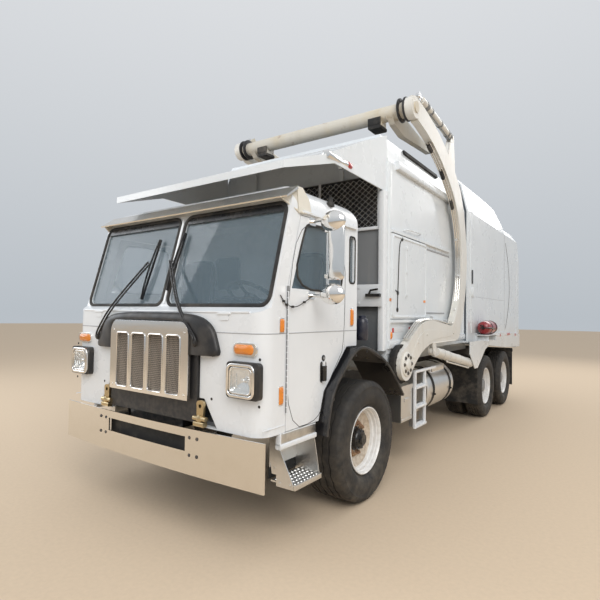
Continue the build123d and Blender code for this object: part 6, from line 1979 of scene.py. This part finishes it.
@dataclass
class BodySides(Assembly):
    """Posts, deck edge, extinguisher, seams and roof ribs of the body."""

    half: float = 1.220

    def extinguisher(self) -> None:
        """Makes the red cylinder strapped on the deck, its neck and its bracket."""
        place = at(1.345, 5.130, 1.520)
        red = Shape().dome(place, ((0.0, 0.030), (0.010, 0.062), (0.035, 0.092), (0.080, 0.104),
                                   (0.500, 0.104), (0.545, 0.092), (0.570, 0.062), (0.580, 0.001)), 40,
                           Axis.Y)
        self.add(red, "extinguisher", self.finishes.red, "red_lens")
        black = Shape()
        black.dome(place, ((-0.001, 0.030), (0.010, 0.024), (0.050, 0.022), (0.052, 0.001)), 20, Axis.Y, -1)
        black.bar(place + (-0.014, -0.110, -0.010), place + (0.014, -0.030, 0.014), 0.005)
        black.bar(place + (-0.012, -0.130, 0.030), place + (0.012, 0.010, 0.044), 0.005)
        for s in (0.150, 0.420):
            black.lathe(place, [(s, 0.104), (s, 0.109), (s + 0.030, 0.109), (s + 0.030, 0.104)], 40, Axis.Y)
            black.bar(place + (-0.125, s - 0.002, -0.110), place + (-0.02, s + 0.032, -0.096), 0.004)
        path = softened([place + (0.0, -0.05, 0.0), place + (0.08, -0.09, 0.0), place + (0.118, 0.05, 0.0),
                         place + (0.112, 0.28, -0.02)], 3)
        black.tube(path, 0.010, 8)
        self.add(black, "extinguisher_straps", self.finishes.gloss_black, "black_plastic", smooth=50,
                 recalc=True)

    def build(self) -> None:
        """Makes all of the body's parts."""
        white, dark, seams, tape = Shape(), Shape(), Shape(), Shape()
        post = softened([(4.873, 1.440), (5.150, 1.440), (5.150, 2.60), (5.050, 3.30), (4.873, 3.30)], 1,
                        True)
        white.plate(post, at(self.half - 0.004, 0, 0), *SIDEWAYS, 0.014)
        white.plate(softened([(4.905, 1.985), (4.985, 1.985), (4.965, 2.140), (4.915, 2.140)], 2, True),
                    at(self.half + 0.008, 0, 0), *SIDEWAYS, 0.030)
        deck = [(5.140, 1.430), (5.140, 1.300), (5.500, 1.236), (7.232, 1.110), (7.232, 1.398)]
        white.plate(np.array(deck)[::-1], at(self.half - 0.002, 0, 0), *SIDEWAYS, 0.034)
        white.bar(at(self.half - 0.01, 5.140, 1.398), at(self.half + 0.205, 5.800, 1.412), 0.004)
        for s in (5.20, 5.72):
            white.bar(at(self.half, s, 1.310), at(self.half + 0.190, s + 0.012, 1.398), 0.003)
        for s in np.arange(5.00, 6.45, 0.45):
            white.bar(at(-0.96, s, 3.846), at(0.96, s + 0.060, 3.862), 0.006)
        dark.plate(rounded_box(0.046, 0.215, 0.022, 8), at(self.half + 0.009, 4.940, 2.295), *SIDEWAYS, 0.012)
        for s in (6.905, 6.990):
            dark.tube(np.stack((at(1.080, s, 3.30), at(1.080, s + 0.01, 3.62))), 0.018, 12)
        seams.bar(at(self.half - 0.006, 7.236, 1.10), at(self.half + 0.0015, 7.241, 3.29), 0.001)
        seams.bar(at(self.half - 0.004, 5.160, 1.998), at(self.half + 0.001, 7.230, 2.002), 0.001)
        for s in np.arange(5.90, 7.15, 0.60):
            tape.bar(at(self.half + 0.031, s, 1.330), at(self.half + 0.0335, s + 0.30, 1.380), 0.0008)
        self.pair(white, "body_trim", self.finishes.body_white, "white_paint", bevel=0.003, recalc=True)
        self.pair(dark, "body_stacks", self.finishes.gloss_black, "black_plastic", recalc=True)
        self.pair(seams, "body_seams", self.finishes.grey, "grey_paint", recalc=True)
        self.pair(tape, "body_tape", self.finishes.tape, "red_lens", recalc=True)
        self.extinguisher()


@dataclass
class Tailgate(Assembly):
    """Seams, ribs, side plates, tape and lamps of the tailgate."""

    half: float = 1.220

    def build(self) -> None:
        """Makes the tailgate's parts and the tail lamps."""
        white, dark, tape = Shape(), Shape(), Shape()
        line = softened([(7.340, 3.130), (7.560, 2.820), (7.700, 2.400), (7.700, 2.100), (7.560, 1.750),
                         (7.350, 1.470)], 3)
        path = on_side(self.half, line)
        dark.sweep(path, rounded_box(0.020, 0.004, 0.001), side=(1, 0, 0))
        deck = [(7.262, 1.398), (7.262, 1.110), (8.632, 1.056), (8.632, 1.330)]
        white.plate(np.array(deck)[::-1], at(self.half - 0.002, 0, 0), *SIDEWAYS, 0.030)
        edge = [(8.360, 1.340), (8.632, 1.340), (8.632, 2.950), (8.500, 3.100)]
        white.plate(np.array(edge)[::-1], at(self.half - 0.002, 0, 0), *SIDEWAYS, 0.012)
        tape.bar(at(self.half + 0.027, 7.45, 1.330), at(self.half + 0.0295, 7.75, 1.380), 0.0008)
        tape.bar(at(self.half + 0.027, 8.10, 1.300), at(self.half + 0.0295, 8.40, 1.350), 0.0008)
        self.pair(white, "tailgate_sides", self.finishes.body_white, "white_paint", body="tailgate",
                  bevel=0.003, recalc=True)
        self.pair(dark, "tailgate_seams", self.finishes.rubber, "black_rubber", body="tailgate", recalc=True)
        self.pair(tape, "tailgate_tape", self.finishes.tape, "red_lens", body="tailgate", recalc=True)
        self.rear()
        self.lamps()

    def rear(self) -> None:
        """Makes the rear face's low ribs, tape and marker lamps."""
        ribs, red, tape = Shape(), Shape(), Shape()
        for z in (1.150, 1.760, 2.370, 2.860):
            ribs.bar(at(-1.150, 8.625, z), at(1.150, 8.646, z + 0.090), 0.005)
        for x in (-1.190, -0.420, 0.360, 1.130):
            ribs.bar(at(x, 8.625, 1.090), at(x + 0.060, 8.6445, 2.950), 0.004)
        self.add(ribs, "tailgate_ribs", self.finishes.body_white, "white_paint", body="tailgate", recalc=True)
        for x in (-0.950, -0.180, 0.0, 0.180, 0.950):
            red.dome(at(x, 8.640, 2.905), ((0.0, 0.030), (0.005, 0.028), (0.008, 0.016), (0.009, 0.001)), 24,
                     Axis.Y)
        for k, x in enumerate(np.arange(-1.100, 1.0, 0.20)):
            (red if k % 2 else tape).bar(at(x, 8.645, 1.170), at(x + 0.20, 8.6475, 1.215), 0.0006)
        self.add(red, "tailgate_markers", self.finishes.red_lens, "red_lens", body="tailgate", smooth=60)
        self.add(tape, "tailgate_rear_tape", self.finishes.white_lens, "lamp_lens", body="tailgate")

    def lamps(self) -> None:
        """Makes round tail lamps in rubber rings."""
        red, ring = Shape(), Shape()
        for z in (0.752, 0.868):
            place = at(0.700, 8.385, z)
            red.dome(place, ((0.0, 0.046), (0.010, 0.044), (0.018, 0.030), (0.022, 0.010), (0.0225, 0.001)),
                     28, Axis.Y)
            ring.lathe(place, [(-0.012, 0.046), (-0.012, 0.056), (0.010, 0.056), (0.012, 0.046)], 28, Axis.Y)
        self.pair(red, "tail_lenses", self.finishes.red_lens, "red_lens", "tail_lamps", smooth=60)
        self.pair(ring, "tail_lamp_rings", self.finishes.rubber, "black_rubber", "tail_lamps", recalc=True)


@dataclass
class Tanks(Assembly):
    """Straps, ends, caps and step plates of the tanks, and the box's lid."""

    x: float = 0.860
    z: float = 0.760
    radius: float = 0.300
    span: tuple[float, float] = (3.300, 4.250)

    def build(self) -> None:
        """Makes both sides' parts."""
        straps, ends, steps, box = Shape(), Shape(), Shape(), Shape()
        for s in (self.span[0] + 0.13, self.span[1] - 0.17):
            loop = [(0.0, self.radius), (0.0, self.radius + 0.006), (0.060, self.radius + 0.006),
                    (0.060, self.radius)]
            straps.lathe(at(self.x, s, self.z), loop, 64, Axis.Y)
            straps.bolts([at(self.x + self.radius + 0.006, s + 0.022, self.z - 0.05)], (1, 0, 0), 0.012,
                         0.020)
        for s, sign in ((self.span[0], -1.0), (self.span[1], 1.0)):
            ends.dome(at(self.x, s - 0.004 * sign, self.z), ((0.0, self.radius + 0.002),
                                                             (0.012, self.radius - 0.003),
                                                             (0.020, self.radius - 0.022),
                                                             (0.010, self.radius - 0.040), (0.022, 0.160),
                                                             (0.028, 0.060), (0.029, 0.001)), 64, Axis.Y,
                      sign)
        ends.dome(at(0.975, 3.720, 1.022), ((0.0, 0.055), (0.030, 0.055), (0.034, 0.062), (0.058, 0.062),
                                            (0.064, 0.052), (0.065, 0.001)), 32, Axis.Z)
        steps.bar(at(0.930, 3.310, 1.058), at(1.180, 3.760, 1.072), 0.004)
        steps.bar(at(1.174, 3.310, 1.000), at(1.184, 3.760, 1.072), 0.003)
        for s in np.arange(3.330, 3.750, 0.030):
            steps.bar(at(0.945, s, 1.072), at(1.165, s + 0.010, 1.077), 0.002)
        box.bar(at(0.795, 2.332, 0.900), at(1.204, 2.648, 0.938), 0.010)
        box.bar(at(1.193, 2.420, 0.760), at(1.205, 2.560, 0.800), 0.004)
        box.bar(at(1.193, 2.345, 0.560), at(1.199, 2.635, 0.580), 0.003)
        box.bolts([at(1.195, s, z) for s in (2.360, 2.620) for z in (0.60, 0.86)], (1, 0, 0), 0.010, 0.006)
        self.pair(straps, "tank_straps", self.finishes.rubber, "black_rubber", recalc=True)
        self.pair(ends, "tank_ends", self.finishes.aluminium, "plain_aluminium", smooth=40, recalc=True)
        self.pair(steps, "tank_steps", self.finishes.aluminium, "plain_aluminium", recalc=True)
        self.pair(box, "box_lids", self.finishes.aluminium, "plain_aluminium", recalc=True)


@dataclass
class Cushion:
    """A crowned closed form, swollen by a cloth simulation and sewn in channels.

    A row at turn w is centre + (1 - k (1 - cos w)) loop + half sin w along the third
    axis, where k is the crown and w runs from -90 to 90 degrees.
    """

    centre: Point
    width: float
    length: float
    half: float
    lean: float
    crown: float = 0.16
    cap: float = 0.012
    channels: tuple[float, ...] = (-0.13, 0.0, 0.13)
    channel_depth: float = 0.007
    channel_width: float = 0.008
    voxel: float = 0.006
    pressure: float = 4.0
    frames: int = 20

    def axes(self) -> tuple[np.ndarray, np.ndarray, np.ndarray]:
        """Returns the cushion's across, along and up directions."""
        turn = math.radians(self.lean)
        along = np.array((0.0, math.cos(turn), math.sin(turn)))
        across = np.array((1.0, 0.0, 0.0))
        return across, along, np.cross(across, along)

    def shell(self, name: str, material: bpy.types.Material) -> bpy.types.Object:
        """Returns the closed form before it is swollen."""
        across, along, up = self.axes()
        loop = rounded_box(self.width, self.length, 0.055, 7)
        turn = np.radians(np.linspace(-89.0, 89.0, 13))
        scale = 1.0 - self.crown * (1.0 - np.cos(turn))
        flat = loop[:, :1] * across + loop[:, 1:] * along
        rows = scale[:, None, None] * flat + self.half * np.sin(turn)[:, None, None] * up
        shape = Shape().grid(rows + np.asarray(self.centre), wrap_v=True, caps=True)
        return shape.build(name, material, 80, recalc=True)

    def swell(self, piece: bpy.types.Object) -> None:
        """Remeshes the piece, blows it up with cloth and limits each point's travel to the cap."""
        skin = piece.modifiers.new("skin", "REMESH")
        skin.mode, skin.voxel_size, skin.use_smooth_shade = "VOXEL", self.voxel, True
        self.bake(piece)
        before = positions(piece.data)
        cloth = piece.modifiers.new("cloth", "CLOTH")
        cloth.settings.use_pressure = True
        cloth.settings.uniform_pressure_force = self.pressure
        cloth.settings.effector_weights.gravity = 0.0
        cloth.point_cache.frame_start, cloth.point_cache.frame_end = 1, self.frames
        for number in range(1, self.frames + 1):
            bpy.context.scene.frame_set(number)
        self.bake(piece)
        bpy.context.scene.frame_set(1)
        move = positions(piece.data) - before
        reach = np.linalg.norm(move, axis=1, keepdims=True)
        place(piece.data, before + move * np.minimum(1.0, self.cap / np.maximum(reach, 1e-9)))

    def sew(self, piece: bpy.types.Object) -> None:
        """Presses channels in: a point at p across sinks by depth exp(-((p - channel) / width)^2)."""
        across, along, up = self.axes()
        points = positions(piece.data)
        local = points - np.asarray(self.centre)
        p, q, r = local @ across, local @ along, local @ up
        inside = np.clip((0.42 * self.length - np.abs(q)) / 0.03, 0.0, 1.0) * np.clip(r / self.half, 0.0, 1.0)
        bumps = [np.exp(-((p - channel) / self.channel_width) ** 2) for channel in self.channels]
        sink = self.channel_depth * sum(bumps)
        place(piece.data, points - (inside * sink)[:, None] * up)

    @staticmethod
    def bake(piece: bpy.types.Object) -> None:
        """Makes the piece's modifiers part of its mesh."""
        state = piece.evaluated_get(bpy.context.evaluated_depsgraph_get())
        mesh = bpy.data.meshes.new_from_object(state)
        piece.modifiers.clear()
        piece.data = mesh

    def make(self, name: str, material: bpy.types.Material) -> bpy.types.Object:
        """Returns the finished cushion and its mirror image as one piece."""
        piece = self.shell(name, material)
        self.swell(piece)
        self.sew(piece)
        mirrored = piece.modifiers.new("pair", "MIRROR")
        mirrored.use_axis = (True, False, False)
        mirrored.use_mirror_merge = False
        self.bake(piece)
        return piece


def positions(mesh: bpy.types.Mesh) -> np.ndarray:
    """Returns a mesh's vertices as rows."""
    flat = np.empty(len(mesh.vertices) * 3)
    mesh.vertices.foreach_get("co", flat)
    return flat.reshape(-1, 3)


def place(mesh: bpy.types.Mesh, points: np.ndarray) -> None:
    """Moves a mesh's vertices to rows of points."""
    mesh.vertices.foreach_set("co", points.ravel())
    mesh.update()


@dataclass
class Interior(Assembly):
    """Seats, steering wheel and dash fittings."""

    seat_x: float = 0.710
    hub: Point = (0.690, 0.500, 1.830)
    foot: Point = (0.690, 0.405, 1.680)
    radius: float = 0.205

    def seats(self) -> None:
        """Makes the padded cushions and the seats' hard parts."""
        base = Cushion(at(self.seat_x, 0.972, 1.612), 0.425, 0.470, 0.045, 4.0)
        back = Cushion(at(self.seat_x, 1.158, 1.965), 0.415, 0.590, 0.045, 83.0, channels=(-0.11, 0.11))
        for cushion, name in ((base, "seat_cushions"), (back, "seat_backs")):
            piece = cushion.make(name, self.finishes.seat)
            fit(piece, "chassis", "seat_fabric", "seats")
        hard = Shape()
        loop = rounded_box(0.300, 0.200, 0.030, 5)
        for z_low, z_high, grow in ((1.462, 1.486, 1.0), (1.486, 1.540, 0.86), (1.540, 1.562, 1.12)):
            rows = np.stack([np.column_stack((grow * loop[:, 0], grow * loop[:, 1], np.full(len(loop), z)))
                             for z in (z_low, z_high)])
            hard.grid(rows + at(0.690, 1.100, 0.0), wrap_v=True, caps=True)
        hard.tube(softened([at(0.500, 1.205, 1.640), at(0.500, 1.222, 1.760), at(0.500, 1.228, 2.200),
                            at(0.560, 1.230, 2.255), at(0.860, 1.230, 2.255), at(0.920, 1.228, 2.200),
                            at(0.920, 1.222, 1.760), at(0.920, 1.205, 1.640)], 2), 0.011, 8)
        self.pair(hard, "seat_frames", self.finishes.plastic, "black_plastic", "seats", recalc=True)

    def wheel(self) -> None:
        """Makes the rim, spokes, hub and column of the steering wheel."""
        hub, foot = at(*self.hub), at(*self.foot)
        axis = unit(hub - foot)
        side = np.array((1.0, 0.0, 0.0))
        up = np.cross(axis, side)
        turn = circle(1.0, 72)
        ring = turn[:, :1] * side + turn[:, 1:] * up
        shape = Shape().tube(hub + self.radius * ring, 0.015, 12, closed=True)
        for angle in np.radians((20.0, 160.0, 270.0)):
            out = math.cos(angle) * side + math.sin(angle) * up
            path = np.stack((hub - 0.02 * axis, hub + 0.06 * out - 0.014 * axis, hub + 0.20 * out))
            shape.sweep(softened(path, 2), rounded_box(0.034, 0.010, 0.004), side=axis)
        shape.plate(circle(0.062, 28), hub - 0.03 * axis, side, up, 0.030)
        shape.tube(np.stack((foot, hub - 0.03 * axis)), 0.030, 16)
        for angle in (0.0, math.pi):
            out = math.cos(angle) * side
            shape.tube(np.stack((hub - 0.07 * axis, hub - 0.05 * axis + 0.16 * out + 0.02 * up)), 0.006, 8)
        self.add(shape, "steering_wheel_rim", self.finishes.gloss_black, "black_plastic", "steering_wheel",
                 smooth=50, recalc=True)

    def dash(self) -> None:
        """Makes the gauge hood, dials, vents and grab handles."""
        dark, dials = Shape(), Shape()
        dark.sweep(softened([at(0.47, 0.300, 1.725), at(0.50, 0.300, 1.800), at(0.69, 0.300, 1.825),
                             at(0.88, 0.300, 1.800), at(0.91, 0.300, 1.725)], 2), rounded_box(0.012, 0.140,
                                                                                              0.005),
                   side=(0, 1, 0))
        dark.bar(at(0.475, 0.262, 1.715), at(0.905, 0.275, 1.800), 0.006)
        for x in (-0.80, -0.50, 0.15, 0.35):
            for k in range(4):
                dark.bar(at(x, 0.436 + 0.003 * k, 1.585 + 0.018 * k), at(x + 0.16, 0.444 + 0.003 * k,
                                                                         1.592 + 0.018 * k), 0.003)
        for x in (0.535, 0.615, 0.765, 0.845, 0.690):
            radius = 0.040 if x == 0.690 else 0.030
            dials.dome(at(x, 0.276, 1.757), ((0.0, radius), (0.006, radius), (0.004, radius - 0.006),
                                             (0.0045, 0.001)), 24, Axis.Y)
        self.add(dark, "dash_parts", self.finishes.plastic, "black_plastic", recalc=True)
        self.add(dials, "dash_dials", self.finishes.grey, "cab_trim", recalc=True)

    def build(self) -> None:
        """Makes everything in the cab."""
        self.seats()
        self.wheel()
        self.dash()


def main() -> None:
    logging.basicConfig(level=logging.INFO, format="%(name)s: %(message)s")
    finishes = Finishes()
    Studio().build()
    dress(finishes)
    for assembly in (Wheels, Grille, FrontLamps, Windshield, FrontPanel, Mirrors, Doors, CabTrim, Steps, Arms,
                     Forks, Cylinders, Guard, HopperSides, BodySides, Tailgate, Tanks, Interior):
        assembly(finishes).build()


if __name__ == "__main__":
    main()
